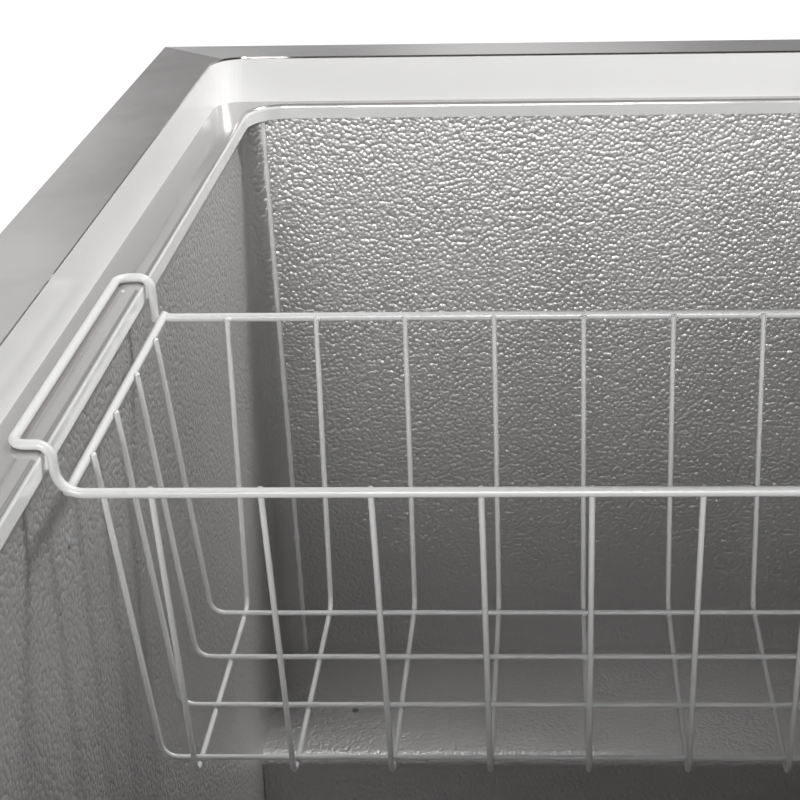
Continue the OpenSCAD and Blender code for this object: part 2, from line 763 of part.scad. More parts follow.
module side_grille() {
    rib = 12;
    depth = 10;
    n = 7;
    pitch = (grille_h - 2 * rib) / n;
    color("dimgray") in_frame() {
        difference() {
            grille_window(0, -shell_l / 2, -in_l / 2 + 1.5);
            grille_window(-rib, -cab_l / 2, -in_l / 2 + 3);
        }
        difference() {
            grille_window(8, -in_l / 2 + fit, -in_l / 2 + 1.5);
            grille_window(-rib, -cab_l / 2, -in_l / 2 + 3);
        }
        for (k = [0 : n - 1])
            translate([-shell_l / 2, grille_y, grille_z - grille_h / 2 + rib + (k + 0.5) * pitch])
                intersection() {
                    rotate([0, 40, 0]) cube([2 * pitch, grille_l - 2 * rib + 1, 1.5], center = true);
                    translate([0, -grille_l / 2, -pitch / 2]) cube([depth, grille_l, pitch]);
                }
    }
}

gland_r = 9;

module cable_gland() {
    color("black") in_frame() translate([gland_x, back_out, gland_z]) rotate([-90, 0, 0])
        rotate_extrude() polygon([[4, -9], [gland_r + 3, -9], [gland_r + 3, -sheet_t - fit],
            [gland_r - fit, -sheet_t - fit], [gland_r - fit, fit], [gland_r + 4, fit],
            [gland_r + 2, 3], [6, 9], [4, 9]]);
}

// ---------- controls ----------

tub_w = panel_w - 14;
tub_h = panel_h - 14;
tub_deep = 14;
tub_t = 2;
front_y = -shell_d / 2;
knob_x = bay_mid - 24;
rocker_x = bay_mid + 30;
rocker_z = panel_z - 20;
rocker_w = 12;
rocker_h = 20;
rocker_tilt = 9;
lamp_r = 3;
spindle_r = 3;

// Extrudes a shape drawn in X and Z from y0 back to y1
module plate_y(y0, y1) {
    translate([0, y1, 0]) rotate([90, 0, 0]) linear_extrude(y1 - y0) children();
}

module at_lamps() {
    for (k = [0 : 2]) translate([rocker_x + (k - 1) * 14, 0, panel_z + 22]) children();
}

module control_panel() {
    floor_y = front_y + tub_deep;
    color("darkslategray") in_frame() difference() {
        translate([bay_mid, 0, panel_z]) {
            plate_y(front_y - 2.5, front_y) rounded(panel_w, panel_h, 8);
            plate_y(front_y, floor_y) rounded(tub_w, tub_h, 5);
        }
        translate([bay_mid, 0, panel_z]) plate_y(front_y - 4, floor_y - tub_t)
            rounded(tub_w - 2 * tub_t, tub_h - 2 * tub_t, 3);
        hole_y(knob_x, panel_z, spindle_r + 1, front_y, floor_y + 1);
        at_lamps() hole_y(0, 0, lamp_r + run, front_y, floor_y + 1);
        translate([rocker_x, 0, rocker_z]) plate_y(front_y, floor_y + 1)
            square([rocker_w + 1, rocker_h + 1], center = true);
    }
}

module thermostat_body() {
    y0 = front_y + tub_deep;
    color("gray") in_frame() difference() {
        translate([knob_x, 0, panel_z]) {
            plate_y(y0, y0 + 24) square([42, 34], center = true);
            plate_y(y0 + 24, y0 + 30) square([30, 24], center = true);
        }
        hole_y(knob_x, panel_z, spindle_r + run, y0 - 1, y0 + 14);
    }
}

module thermostat_knob() {
    y0 = front_y + tub_deep - tub_t - slip;
    color("black") in_frame() translate([knob_x, y0, panel_z]) rotate([90, 0, 0]) {
        translate([0, 0, -tub_t - slip - 12]) cylinder(r = spindle_r, h = tub_t + slip + 12);
        difference() {
            rotate_extrude() polygon([[0, 0], [knob_r, 0], [knob_r, 3], [knob_r - 2, 5],
                [knob_r - 4, 13], [knob_r - 5, 14], [0, 14]]);
            for (s = [-1, 1]) translate([s * (4.5 + knob_r), 0, 5.5 + knob_r / 2])
                cube([2 * knob_r, 2 * knob_r, knob_r], center = true);
        }
        translate([-0.8, 2, 13.5]) cube([1.6, knob_r - 8, 1.1]);
    }
}

module indicator_lamps() {
    color("tomato") in_frame() at_lamps() translate([0, front_y + tub_deep, 0]) rotate([90, 0, 0])
        rotate_extrude() {
            square([lamp_r, tub_t]);
            translate([0, tub_t]) intersection() {
                circle(lamp_r);
                square(lamp_r);
            }
        }
}

module rocker_switch() {
    stud = 0.3;
    color("black") in_frame() translate([rocker_x, front_y + tub_deep - 1, rocker_z])
        rotate([rocker_tilt, 0, 0]) {
            plate_x(-rocker_w / 2, rocker_w / 2)
                polygon([[4, -8], [-3.4, -9.3], [-2.4, 0], [-3.4, 9.3], [4, 8]]);
            plate_x(-rocker_w / 2 - stud, rocker_w / 2 + stud) circle(1.5);
        }
}

// ---------- drain ----------

drain_bend = drain_r + 2;

module drain_route(r, over = 0) {
    wire([[drain_x, drain_y, floor_z - liner_t + over], [drain_x, drain_y, drain_z],
        [drain_x, front_y - 9 - over, drain_z]], r, drain_bend);
}

module drain_pipe() {
    color("whitesmoke") in_frame() difference() {
        drain_route(drain_r);
        drain_route(drain_r - 2, 1);
    }
}

module drain_plug() {
    color("gray") in_frame() translate([drain_x, drain_y, floor_z + slip]) rotate_extrude() polygon([
        [0, -7], [drain_r - 3.5, -7], [drain_r - 2 - slip, -5], [drain_r - 2 - slip, 0],
        [drain_r + 5, 0], [drain_r + 5, 2], [drain_r, 5], [5, 6], [4, 12], [6, 16], [6, 18],
        [0, 19]]);
}

module drain_cap() {
    cap_r = drain_r + 4;
    color("whitesmoke") in_frame() translate([drain_x, front_y, drain_z]) rotate([90, 0, 0])
        difference() {
            union() {
                translate([0, 0, 0.5]) cylinder(r = cap_r, h = cap_out - 1.5);
                translate([0, 0, cap_out - 1]) cylinder(r = cap_r - 1, h = 1);
                for (k = [0 : 17]) rotate(k * 20) translate([cap_r, 0, 1.5])
                    cylinder(r = 0.7, h = cap_out - 4);
            }
            translate([0, 0, -1]) cylinder(r = drain_r + slip, h = cap_out - 2);
        }
}

// ---------- hinges ----------

screw_r = 2.4;
ear_r = 10;
ear_y = (cab_d / 2 - back_out) + 0.8;   // the ears stand behind the rim's skirt
arm_w = hinge_w - 2 * hinge_t - 2;
arm_face = hinge_y - lid_d / 2 - hinge_t;
arm_low = lid_gap - pin_z + 1;
arm_high = arm_low + 33;
plunger_y = pin_y - cam_rate;
plunger_top = pin_z - cam_r - slip;
plunger_head = 6;
rod_r = 3.6;
seat_z = plunger_top - plunger_head - spring_h;
stop_y = hinge_d - hinge_t - pin_y;
stop_z = pin_z + arm_face * sin(lid_open)
    + (stop_y + arm_face * cos(lid_open)) / tan(lid_open) - slip;

// Frame at each hinge: X to the middle of the hinge, Y from the cabinet's back, Z from the rim
module at_hinges() {
    for (s = [-1, 1]) translate([s * hinge_x, back_out, rim_z]) children();
}

module at_hinge_screws() {
    for (x = [-1, 1], z = [-50, 20 - hinge_drop])
        translate([x * (hinge_w / 2 + 8), 0, z]) children();
}

// Extrudes a shape drawn in Y and Z along X, from x0 to x1
module plate_x(x0, x1) {
    translate([x0, 0, 0]) rotate([90, 0, 90]) linear_extrude(x1 - x0) children();
}

module hinge_channels() {
    low = -hinge_drop;
    lug_top = -rim_skirt - 8;
    color("silver") in_frame() at_hinges() difference() {
        union() {
            for (s = [-1, 1]) {
                translate([s > 0 ? hinge_w / 2 - hinge_t : -hinge_w / 2 - 16, 0, low])
                    cube([16 + hinge_t, hinge_t, lug_top - low]);
                x0 = s > 0 ? hinge_w / 2 - hinge_t : -hinge_w / 2;
                plate_x(x0, x0 + hinge_t) {
                    polygon([[0, low], [hinge_d, low], [hinge_d, -8], [pin_y + ear_r, pin_z],
                        [pin_y - ear_r, pin_z], [ear_y, -10], [ear_y, lug_top], [0, lug_top]]);
                    translate([pin_y, pin_z]) circle(ear_r);
                }
            }
            translate([-hinge_w / 2, hinge_d - hinge_t, low])
                cube([hinge_w, hinge_t, -8 - low]);
            translate([-14, hinge_d - hinge_t, -9]) cube([28, hinge_t, stop_z + 9]);
            translate([-hinge_w / 2, hinge_t, seat_z - hinge_t])
                cube([hinge_w, hinge_d - hinge_t - 1, hinge_t]);
        }
        translate([0, plunger_y, seat_z - 5]) cylinder(r = rod_r + slip, h = 10);
        translate([-hinge_w, pin_y, pin_z]) rotate([0, 90, 0])
            cylinder(r = pin_r + run, h = 2 * hinge_w);
        at_hinge_screws() rotate([-90, 0, 0]) cylinder(r = screw_r + 0.2, h = 10, center = true);
    }
}

module screw(shank) {
    rotate([-90, 0, 0]) {
        translate([0, 0, -shank]) cylinder(r = screw_r - run, h = shank);
        rotate_extrude() polygon([[0, 0], [4.6, 0], [4.2, 1.8], [2.6, 2.8], [0, 3]]);
    }
}

module hinge_screws() {
    color("silver") in_frame() at_hinges() at_hinge_screws()
        translate([0, hinge_t, 0]) screw(18);
}

module hinge_pins() {
    color("silver") in_frame() at_hinges() translate([-hinge_w / 2 - 3, pin_y, pin_z])
        rotate([0, 90, 0]) {
            cylinder(r = pin_r, h = hinge_w + 7);
            translate([0, 0, 1]) cylinder(r = pin_r + 2.5, h = 2 - fit);
            translate([0, 0, hinge_w + 3 + fit]) cylinder(r = pin_r + 2, h = 1.5);
        }
}

// The lift springs: round wire wound between the seat and the plunger's head
module hinge_springs() {
    coil_r = plunger_r - spring_wire - 1;
    turns = 8;
    steps = 12;
    sides = 6;
    rise = spring_h - 2 * spring_wire - 0.4;
    rings = [for (k = [0 : turns * steps]) [for (j = [0 : sides - 1])
        let (a = 360 * k / steps, b = 360 * j / sides, r = coil_r + spring_wire * cos(b))
            [r * cos(a), r * sin(a), spring_wire + 0.2 + rise * k / turns / steps
                + spring_wire * sin(b)]]];
    last = turns * steps;
    faces = concat([[for (j = [0 : sides - 1]) j]],
        [for (k = [0 : last - 1], j = [0 : sides - 1], h = [0, 1]) let (n = (j + 1) % sides,
            a = k * sides, b = a + sides) h == 0 ? [a + j, b + j, b + n] : [a + j, b + n, a + n]],
        [[for (j = [sides - 1 : -1 : 0]) last * sides + j]]);
    color("slategray") in_frame() at_hinges() translate([0, plunger_y, seat_z])
        polyhedron([for (ring = rings, p = ring) p], faces, convexity = 10);
}

module hinge_plungers() {
    color("whitesmoke") in_frame() at_hinges() translate([0, plunger_y, plunger_top])
        rotate_extrude() polygon([[0, 0], [plunger_r - 1, 0], [plunger_r, -1],
            [plunger_r, -plunger_head], [rod_r, -plunger_head],
            [rod_r, -plunger_head - spring_h - 18], [0, -plunger_head - spring_h - 18]]);
}

// Frame at each pin of the closed lid, Y and Z measured from the pin
module at_arms() { for (s = [-1, 1]) translate([s * hinge_x, hinge_y, hinge_z]) children(); }

module at_arm_screws() {
    for (x = [-1, 1]) translate([x * 12, -arm_face, arm_high - 9]) children();
}

// The cam's face is an involute, so the plunger sinks evenly as the lid closes
function cam_point(a) = let (h = cam_r + cam_rate * a * PI / 180)
    [-h * sin(a) - cam_rate * cos(a), -h * cos(a) + cam_rate * sin(a)];

module hinge_arms() {
    hub_r = cam_r - 1;
    t = hinge_t;
    lobe = [for (a = [-4 : 4 : lid_open + 4]) cam_point(a)];
    color("silver") on_lid() at_arms() difference() {
        union() {
            translate([-arm_w / 2, -arm_face - t, arm_low]) cube([arm_w, t, arm_high - arm_low]);
            for (x = [-arm_w / 2, arm_w / 2 - t]) plate_x(x, x + t) {
                circle(hub_r);
                polygon([[-arm_face - t, arm_low], [-0.71 * hub_r, -0.71 * hub_r],
                    [0.71 * hub_r, 0.71 * hub_r], [-arm_face, arm_high - 6],
                    [-arm_face - t, arm_high - 6]]);
            }
            plate_x(-arm_w / 2, arm_w / 2) circle(hub_r);
            rotate([lid_open, 0, 0]) plate_x(-7, 7) polygon(concat([[0, 0]], lobe));
        }
        translate([-hinge_w, 0, 0]) rotate([0, 90, 0]) cylinder(r = pin_r + run, h = 2 * hinge_w);
        at_arm_screws() rotate([90, 0, 0]) cylinder(r = screw_r + 0.2, h = 10, center = true);
    }
}

module arm_screws() {
    color("silver") on_lid() at_arms() at_arm_screws() screw(16);
}

// ---------- lid ----------

flange_l = 12;

module lid_skin() {
    color("lightgray") on_lid() difference() {
        translate([0, 0, lid_z]) {
            sweep_ring(lid_l, lid_d, lid_r) {
                translate([-sheet_t, 0]) square([sheet_t, lid_h - lid_edge]);
                translate([-flange_l, 0]) square([flange_l, sheet_t]);
                translate([-lid_edge, lid_h - lid_edge]) intersection() {
                    difference() {
                        circle(lid_edge);
                        circle(lid_edge - sheet_t);
                    }
                    square(lid_edge);
                }
                translate([-lid_r, lid_h - sheet_t]) square([lid_r - lid_edge, sheet_t]);
            }
            translate([lid_r - lid_l / 2, lid_r - lid_d / 2, lid_h - sheet_t])
                cube([lid_l - 2 * lid_r, lid_d - 2 * lid_r, sheet_t]);
        }
        at_arms() at_arm_screws() rotate([90, 0, 0]) cylinder(r = screw_r, h = 10, center = true);
    }
}

module lid_panel() {
    t = panel_t;
    foot = bulge_lean + t;
    color("white") on_lid() translate([0, 0, lid_z]) {
        translate([0, 0, -t]) linear_extrude(t) difference() {
            rounded(lid_l - 6, lid_d - 6, lid_r - 3);
            rounded(bulge_l, bulge_d, bulge_r);
        }
        sweep_ring(bulge_l, bulge_d, bulge_r) polygon([[0, 0], [0, -t], [-bulge_lean, -bulge_h],
            [-foot, -bulge_h], [-foot, t - bulge_h], [-t, 0]]);
        slab(bulge_l - 2 * foot, bulge_d - 2 * foot, bulge_r - foot, -bulge_h, t);
    }
}

module lid_foam() {
    e = lid_edge - sheet_t;
    r = lid_r - sheet_t;
    l = lid_l - 2 * sheet_t;
    d = lid_d - 2 * sheet_t;
    b = bulge_r - panel_t;
    deep = bulge_h - panel_t;
    color("khaki") on_lid() difference() {
        translate([0, 0, lid_z]) {
            slab(lid_l - 2 * flange_l, lid_d - 2 * flange_l, lid_r - flange_l, 0, sheet_t);
            slab(l, d, r, sheet_t, lid_h - lid_edge - sheet_t);
            translate([0, 0, lid_h - lid_edge]) {
                sweep_ring(l, d, r) {
                    translate([-e, 0]) intersection() {
                        circle(e);
                        square(e);
                    }
                    translate([-r, 0]) square([r - e, e]);
                }
                translate([r - l / 2, r - d / 2, 0]) cube([l - 2 * r, d - 2 * r, e]);
            }
            sweep_ring(bulge_l - 2 * panel_t, bulge_d - 2 * panel_t, b)
                polygon([[0, 0], [-bulge_lean, -deep], [-b, -deep], [-b, 0]]);
            translate([bulge_r - bulge_l / 2, bulge_r - bulge_d / 2, -deep])
                cube([bulge_l - 2 * bulge_r, bulge_d - 2 * bulge_r, deep]);
        }
        at_arms() at_arm_screws() rotate([90, 0, 0]) cylinder(r = screw_r, h = 40);
    }
}

module lid_gasket() {
    w = gasket_w / 2;
    out = w + 1;
    top = lid_gap - panel_t;
    slope = rim_fall / rim_band;
    low = slip - rim_fall / 2;
    color("gray") on_lid() translate([0, 0, rim_z])
        mitred_ring(open_l + rim_band + 2 * out, open_d + rim_band + 2 * out, 2 * out)
            translate([-out, 0]) difference() {
                polygon([[-w, low + slope * w], [w, low - slope * w], [out, 2], [w - 1, 4],
                    [w, top], [-w, top], [1 - w, 4], [-out, 2]]);
                polygon([[1.5 - w, low + 1.5], [w - 1.5, low + 1.2], [w - 2.5, 3.4], [2.5 - w, 3.4]]);
            }
}

handle_top = lid_gap + lid_h - 8;
block_w = 66;       // width of the handle's middle, which holds the lock
pocket_y = 12;
tongue_t = 2;
tongue_y = 4;       // distance of the tongue from the lid's front face
tongue_w = 9;
lock_z = rim_z - lock_drop;
lid_front = -lid_d / 2;

module lid_handle() {
    r = 6;
    h = handle_top + handle_drop;
    color("whitesmoke") on_lid() difference() {
        intersection() {
            translate([0, 0, rim_z]) plate_x(-handle_l / 2, handle_l / 2) {
                translate([lid_front - handle_d + r, -handle_drop]) square([handle_d - r, h]);
                translate([lid_front - handle_d, r - handle_drop]) square([handle_d, h - 2 * r]);
                for (z = [r - handle_drop, handle_top - r])
                    translate([lid_front - handle_d + r, z]) circle(r);
            }
            translate([0, 0, rim_z + (handle_top - handle_drop) / 2])
                plate_y(lid_front - handle_d - 1, lid_front + 1) rounded(handle_l, h, 14);
        }
        for (s = [-1, 1]) translate([s > 0 ? block_w / 2 : 10 - handle_l / 2,
            lid_front - handle_d + 4, rim_z - handle_drop - 1])
            cube([handle_l / 2 - block_w / 2 - 10, handle_d - 7, h - 15]);
        translate([-14, lid_front - pocket_y, rim_z - handle_drop - 1])
            cube([tongue_l + 22, pocket_y + 1, handle_drop + 2]);
        hole_y(0, lock_z, lock_r + run, lid_front - handle_d - 1, lid_front);
    }
}

module lock_barrel() {
    y0 = lid_front - handle_d;
    color("silver") on_lid() difference() {
        union() {
            hole_y(0, lock_z, lock_r, y0, lid_front - pocket_y + 1);
            hole_y(0, lock_z, lock_r + 2, y0 - 1.5, y0 - fit);
            hole_y(0, lock_z, lock_r, y0 - 1, y0 + 1);
            hole_y(0, lock_z, 3, y0, lid_front - tongue_y + 1);
            hole_y(0, lock_z, 5, y0 + 4, lid_front - tongue_y - tongue_t - fit);
            hole_y(0, lock_z, 4.5, lid_front - tongue_y + fit, lid_front - tongue_y + 1.2);
        }
        translate([-1, y0 - 3, lock_z - 4]) cube([2, 12, 8]);
    }
}

module lock_tongue() {
    color("silver") on_lid() translate([0, 0, lock_z])
        plate_y(lid_front - tongue_y - tongue_t, lid_front - tongue_y) difference() {
            union() {
                circle(7);
                translate([-tongue_w / 2, tongue_w / 2 - tongue_l])
                    square([tongue_w, tongue_l - tongue_w / 2]);
                translate([0, tongue_w / 2 - tongue_l]) circle(tongue_w / 2);
            }
            circle(3 + run);
        }
}

// Bracket welded to the wrap: the turned tongue goes under its shelf
module lock_keeper() {
    t = 1.5;
    shelf = -lock_drop + tongue_w / 2 + slip;
    reach = -lid_front + tongue_y + tongue_t + 2;
    skirt = cab_d / 2 + 0.4;
    color("silver") in_frame() translate([0, 0, rim_z]) plate_x(9, tongue_l + 5) polygon([
        [front_y, -62], [front_y - t, -62], [front_y - t, -rim_skirt - 6],
        [-skirt - t, -rim_skirt - 2], [-skirt - t, shelf], [-reach, shelf],
        [-reach, shelf + t], [-skirt, shelf + t], [-skirt, -rim_skirt - 1], [front_y, -rim_skirt - 4]]);
}

// ---------- basket ----------

far_x = 1 - basket_w / 2;   // where the hook comes down beside the far rim

butt_z = (rim_bend + hook_rise - hook_bend) / 2;    // butt weld in each riser

// The rim wire on the near side, turned up at both ends to meet the hooks
module basket_near_rim() {
    n = basket_w / 2;
    color("white") in_basket() wire([[n, -riser_y, butt_z], [n, -riser_y, 0], [n, riser_y, 0],
        [n, riser_y, butt_z]], wire_r, rim_bend);
}

module basket_hooks() {
    n = basket_w / 2;
    color("white") in_basket() for (s = [-1, 1])
        wire([[far_x, s * riser_y, -wire_r / 2], [far_x, s * riser_y, hook_rise],
            [far_x, s * hook_y, hook_rise], [n, s * hook_y, hook_rise],
            [n, s * riser_y, hook_rise], [n, s * riser_y, butt_z]], wire_r, hook_bend);
}

module basket_far_rim() {
    y = bar_y - wire_r + weld;
    color("white") in_basket() rod([-basket_w / 2, -y, 0], [-basket_w / 2, y, 0], wire_r);
}

module basket_end_bars() {
    color("white") in_basket() for (s = [-1, 1])
        rod([-basket_w / 2 - 4, s * bar_y, 0], [basket_w / 2 - wire_r + weld, s * bar_y, 0], wire_r);
}

// Mesh wire in the X-Z plane, bent up at both ends: half its span at the top and at the bottom.
// The bends are a hair thicker, and the straight pieces run a little way into them.
module mesh_wire_u(top, bottom, low, rise) {
    hair = 0.01;
    into = 0.1;
    a = atan2(low + rise, top - bottom);
    flat = bottom - mesh_bend * tan(a / 2);
    side = norm([low + rise, top - bottom]) - mesh_bend * tan(a / 2);
    translate([-flat - into, 0, -low]) rotate([0, 90, 0])
        cylinder(r = mesh_r, h = 2 * (flat + into));
    for (m = [0, 1]) mirror([m, 0, 0]) axes_at([flat, 0, mesh_bend - low],
        [0, 0, -1], [1, 0, 0], [0, -1, 0]) {
        rotate_extrude(angle = a) translate([mesh_bend, 0]) circle(mesh_r + hair);
        rotate([0, 0, a]) translate([mesh_bend, -into, 0]) rotate([-90, 0, 0])
            cylinder(r = mesh_r, h = side + into);
    }
}

cross_rise = 0.6;   // height of the cross wires' ends above the rim wire's axis
long_rise = 1.6;    // the same for the long wires

module basket_cross_wires() {
    $fn = 24;
    color("white") in_basket() for (k = [0 : cross_n - 1])
        translate([0, (k - (cross_n - 1) / 2) * cross_pitch, 0])
            mesh_wire_u(basket_w / 2 - wire_r - mesh_r + weld, basket_w / 2 - basket_lean,
                basket_h, cross_rise);
}

module basket_long_wires() {
    $fn = 24;
    color("white") in_basket() for (x = [-long_outer, -long_inner, long_inner, long_outer])
        translate([x, 0, 0]) rotate([0, 0, 90]) mesh_wire_u(bar_y - wire_r - mesh_r + weld,
            bar_y - basket_end_lean, basket_h - mesh_wire + weld, long_rise);
}

outer_shell();
back_panel();
base_plate();
base_rails();
feet();
rim_frame();
throat_frame();
ledge_frame();
liner();
liner_plugs();
cabinet_foam();
bay_plate();
evaporator_coil();
condenser_coil();
compressor();
compressor_grommets();
compressor_bolts();
relay_cover();
suction_pipe();
discharge_pipe();
filter_drier();
capillary_tube();
side_grille();
cable_gland();
control_panel();
thermostat_body();
thermostat_knob();
indicator_lamps();
rocker_switch();
drain_pipe();
drain_plug();
drain_cap();
hinge_channels();
hinge_screws();
hinge_pins();
hinge_springs();
hinge_plungers();
hinge_arms();
arm_screws();
lid_skin();
lid_panel();
lid_foam();
lid_gasket();
lid_handle();
lock_barrel();
lock_tongue();
lock_keeper();
basket_near_rim();
basket_hooks();
basket_far_rim();
basket_end_bars();
basket_cross_wires();
basket_long_wires();
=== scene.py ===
"""Finishes, small details, stage, light and camera for the chest freezer."""

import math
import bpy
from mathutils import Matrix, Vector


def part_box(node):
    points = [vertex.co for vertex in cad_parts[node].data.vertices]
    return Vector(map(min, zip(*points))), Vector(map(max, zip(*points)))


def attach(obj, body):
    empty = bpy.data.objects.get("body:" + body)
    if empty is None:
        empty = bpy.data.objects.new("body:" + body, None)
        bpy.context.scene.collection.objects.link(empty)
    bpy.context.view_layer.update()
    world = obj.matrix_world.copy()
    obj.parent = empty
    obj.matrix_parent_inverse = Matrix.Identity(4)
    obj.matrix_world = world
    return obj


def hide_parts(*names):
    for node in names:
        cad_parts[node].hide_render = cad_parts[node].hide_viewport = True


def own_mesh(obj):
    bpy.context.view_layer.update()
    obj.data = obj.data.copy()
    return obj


bl_info = {
    "name": "Chest Freezer Finish",
    "version": (1, 0, 0),
    "blender": (4, 5, 0),
    "location": "View3D > Sidebar > Freezer",
    "description": "Dresses the chest freezer's solids and builds its studio",
    "category": "Object",
}

import bmesh
import bpy
from bpy.props import FloatProperty, FloatVectorProperty, IntProperty, PointerProperty
from mathutils import Matrix, Vector

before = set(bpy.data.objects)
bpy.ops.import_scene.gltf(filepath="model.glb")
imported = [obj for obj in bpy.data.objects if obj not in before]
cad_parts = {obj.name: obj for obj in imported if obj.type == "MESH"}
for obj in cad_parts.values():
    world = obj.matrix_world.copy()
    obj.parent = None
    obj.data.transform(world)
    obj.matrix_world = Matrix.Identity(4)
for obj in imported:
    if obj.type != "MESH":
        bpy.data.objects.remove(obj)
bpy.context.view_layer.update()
MM = 0.001
MERGE_WITHIN = 1e-7

# Sizes of the solids
PANEL_SKIN = 2 * MM
TANK_FLANGE = 8 * MM
TANK_CORNER = 20 * MM
TANK_SHEET = 1 * MM
RIM_WIRE_RADIUS = 2.4 * MM

# Small details
SEAM_TURN = math.radians(13)  # where a seam lies on the tank's rounded corner, from the end wall
SEAM_LUMPS = (0.75, 1.3)  # thinnest and thickest stretch of a seam, as shares of its radius
SCREW_RADIUS = 3.4 * MM
SCREW_HEIGHT = 1.8 * MM
SCREW_INSET = 9 * MM
SIDE_SCREWS = (0.3, 0.52, 0.74, 0.96)  # shares of the back panel's height
FOOT_SCREWS = (-0.6, -0.2, 0.2, 0.6, 0.95)  # shares of the way out to the side screws
SCREW_TOP = 0.72  # radius of the flat top, as a share of the head's
SCREW_SLOT_REACH = 1.1  # length of a slot, as a share of the head's radius
TICK_WIDTH = 0.8 * MM
TICK_HEIGHT = 0.7 * MM
TICK_STAND_OFF = 1.2  # from the knob's edge to the middle of a tick, as a share of its length
TICK_START = math.radians(-45)
TICK_SWEEP = math.radians(270)

# Where the beads sit, as shares of the radius of the rim wire or of the mesh wire
RIM_BEAD_INWARD = 1.15
RIM_BEAD_DROP = 0.2
BAR_BEAD_DROP = 0.25
FLOOR_BEAD_RISE = 1.85

# How far the coating's beads are drawn out along X, Y and Z, for each kind of weld
BEAD_SHAPES = {
    "rims": (0.95, 1.6, 1.15),
    "bars": (1.0, 1.0, 0.9),
    "floor": (1.2, 1.2, 0.95),
    "corners": (1.1, 1.62, 1.62),
}

# Camera: its place from the middle of the basket's near rim, and its angles in radians
CAMERA_OFFSET = Vector((0.6498, -0.0178, 0.3549))
PITCH, YAW, ROLL = 0.444, -0.035, -0.020
CAMERA_LENS = 74.3
CAMERA_SHIFT = -0.125
SENSOR_WIDTH = 36.0

FLOOR_REACH = 30.0
FLOOR_GLOW = 0.74  # how strongly the floor glows to the camera near the freezer
MIRRORED_GLOW = 0.42  # how strongly it glows in reflections
GLOW_DISTANCES = (1.5, 7.0)  # between these the glow to the camera rises to white

# The room that reflections show: a slope of light with patches over it
ROOM_LIGHT_SIDE = (-0.25, -0.6, -0.55)
ROOM_SLOPE = (-0.7, 0.5)
ROOM_LEVELS = (0.16, 0.85)
PATCH_SHIFT = (5.3, 0.2, 2.4)
PATCH_SCALE, PATCH_DETAIL, PATCH_ROUGH = 4.4, 0.6, 0.4
PATCH_EDGES = (0.4, 0.6)
PATCH_LEVELS = (0.6, 1.28)
DIFFUSE_SHARE = 0.06  # how much of the slope of light reaches dull surfaces

# The low lamp's direction from the top of the tank's far wall, and its distance
LOW_LAMP_RISE, LOW_LAMP_SWING = math.radians(17), math.radians(-2)
LOW_LAMP_AWAY = 4.0
BELOW_WALL_TOP = 0.1

# Side in metres and power in watts of each lamp; the overhead lamp's side is a scene setting
LOW_LAMP = (1.1, 108.0)
FRONT_LAMP = (1.3, 55.0)
OVERHEAD_POWER = 98.0


def middle(node):
    """Middle of a node's box."""
    low, high = (Vector(corner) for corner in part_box(node))
    return (low + high) / 2


def extent(node):
    """Size of a node's box."""
    low, high = (Vector(corner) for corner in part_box(node))
    return high - low


# ---------- sizes and colours that a user would change ----------


def length(name, text, value):
    return FloatProperty(
        name=name, description=text, default=value, min=0.0, unit="LENGTH", precision=5
    )


def tint(name, text, value):
    return FloatVectorProperty(
        name=name, description=text, default=value, size=3, subtype="COLOR", min=0.0, max=1.0
    )


class FreezerSizes(bpy.types.PropertyGroup):
    bead_radius: length(
        "Weld bead", "Radius of the coated bead on each weld of the basket", 1.6 * MM
    )
    emboss_cell: length("Emboss cell", "Size of one bump of the embossed tank sheet", 3.1 * MM)
    emboss_depth: length("Emboss depth", "Height of the embossed bumps", 0.5 * MM)
    grain_width: length("Grain width", "Width of one stroke of the brushed steel", 0.35 * MM)
    screw_slot: length("Screw slot", "Width of the slots in the screw heads", 1.1 * MM)
    seam_radius: length(
        "Seam bead", "Radius of the sealant bead in the tank's corners", 1.9 * MM
    )
    tick_length: length("Dial tick", "Length of the ticks round the thermostat knob", 3.2 * MM)
    tick_count: IntProperty(
        name="Dial ticks", description="Number of ticks round the knob", default=15, min=2
    )
    lamp_size: length("Lamp size", "Side of the overhead lamp", 0.5)


class FreezerColours(bpy.types.PropertyGroup):
    steel: tint("Steel", "Brushed steel of the rim and the wrap", (0.42, 0.405, 0.4))
    collar: tint(
        "Collar", "Moulded collar between the rim and the tank", (0.66, 0.657, 0.652)
    )
    ledge: tint("Ledge", "Polished sheet that carries the basket", (0.5, 0.487, 0.483))
    tank: tint("Tank", "Embossed sheet of the tank", (0.61, 0.601, 0.597))
    coating: tint("Wire coating", "Plastic coating of the basket", (0.6, 0.6, 0.596))
    lining: tint("Lid lining", "Moulded inner panel of the lid", (0.85, 0.85, 0.845))
    trim: tint(
        "Trim", "Dark plastic of the handle, controls and grille", (0.035, 0.036, 0.038)
    )
    floor: tint("Floor", "Studio floor", (0.93, 0.93, 0.93))


def sizes():
    return bpy.context.scene.freezer_sizes


def colours():
    return bpy.context.scene.freezer_colours


# ---------- node helpers ----------


def add(tree, kind, inputs=None, **settings):
    """New node; each input is a value or the socket that feeds it."""
    made = tree.nodes.new(kind)
    for key, value in settings.items():
        setattr(made, key, value)
    for key, value in (inputs or {}).items():
        if isinstance(value, bpy.types.NodeSocket):
            tree.links.new(value, made.inputs[key])
        else:
            made.inputs[key].default_value = value
    return made


def math_of(tree, operation, first, second=0.0, third=0.0, clamp=False):
    values = {0: first, 1: second, 2: third}
    return add(tree, "ShaderNodeMath", values, operation=operation, use_clamp=clamp).outputs[0]


def vector_of(tree, operation, first, second=(0.0, 0.0, 0.0), output="Vector"):
    values = {0: first, 1: second}
    return add(tree, "ShaderNodeVectorMath", values, operation=operation).outputs[output]


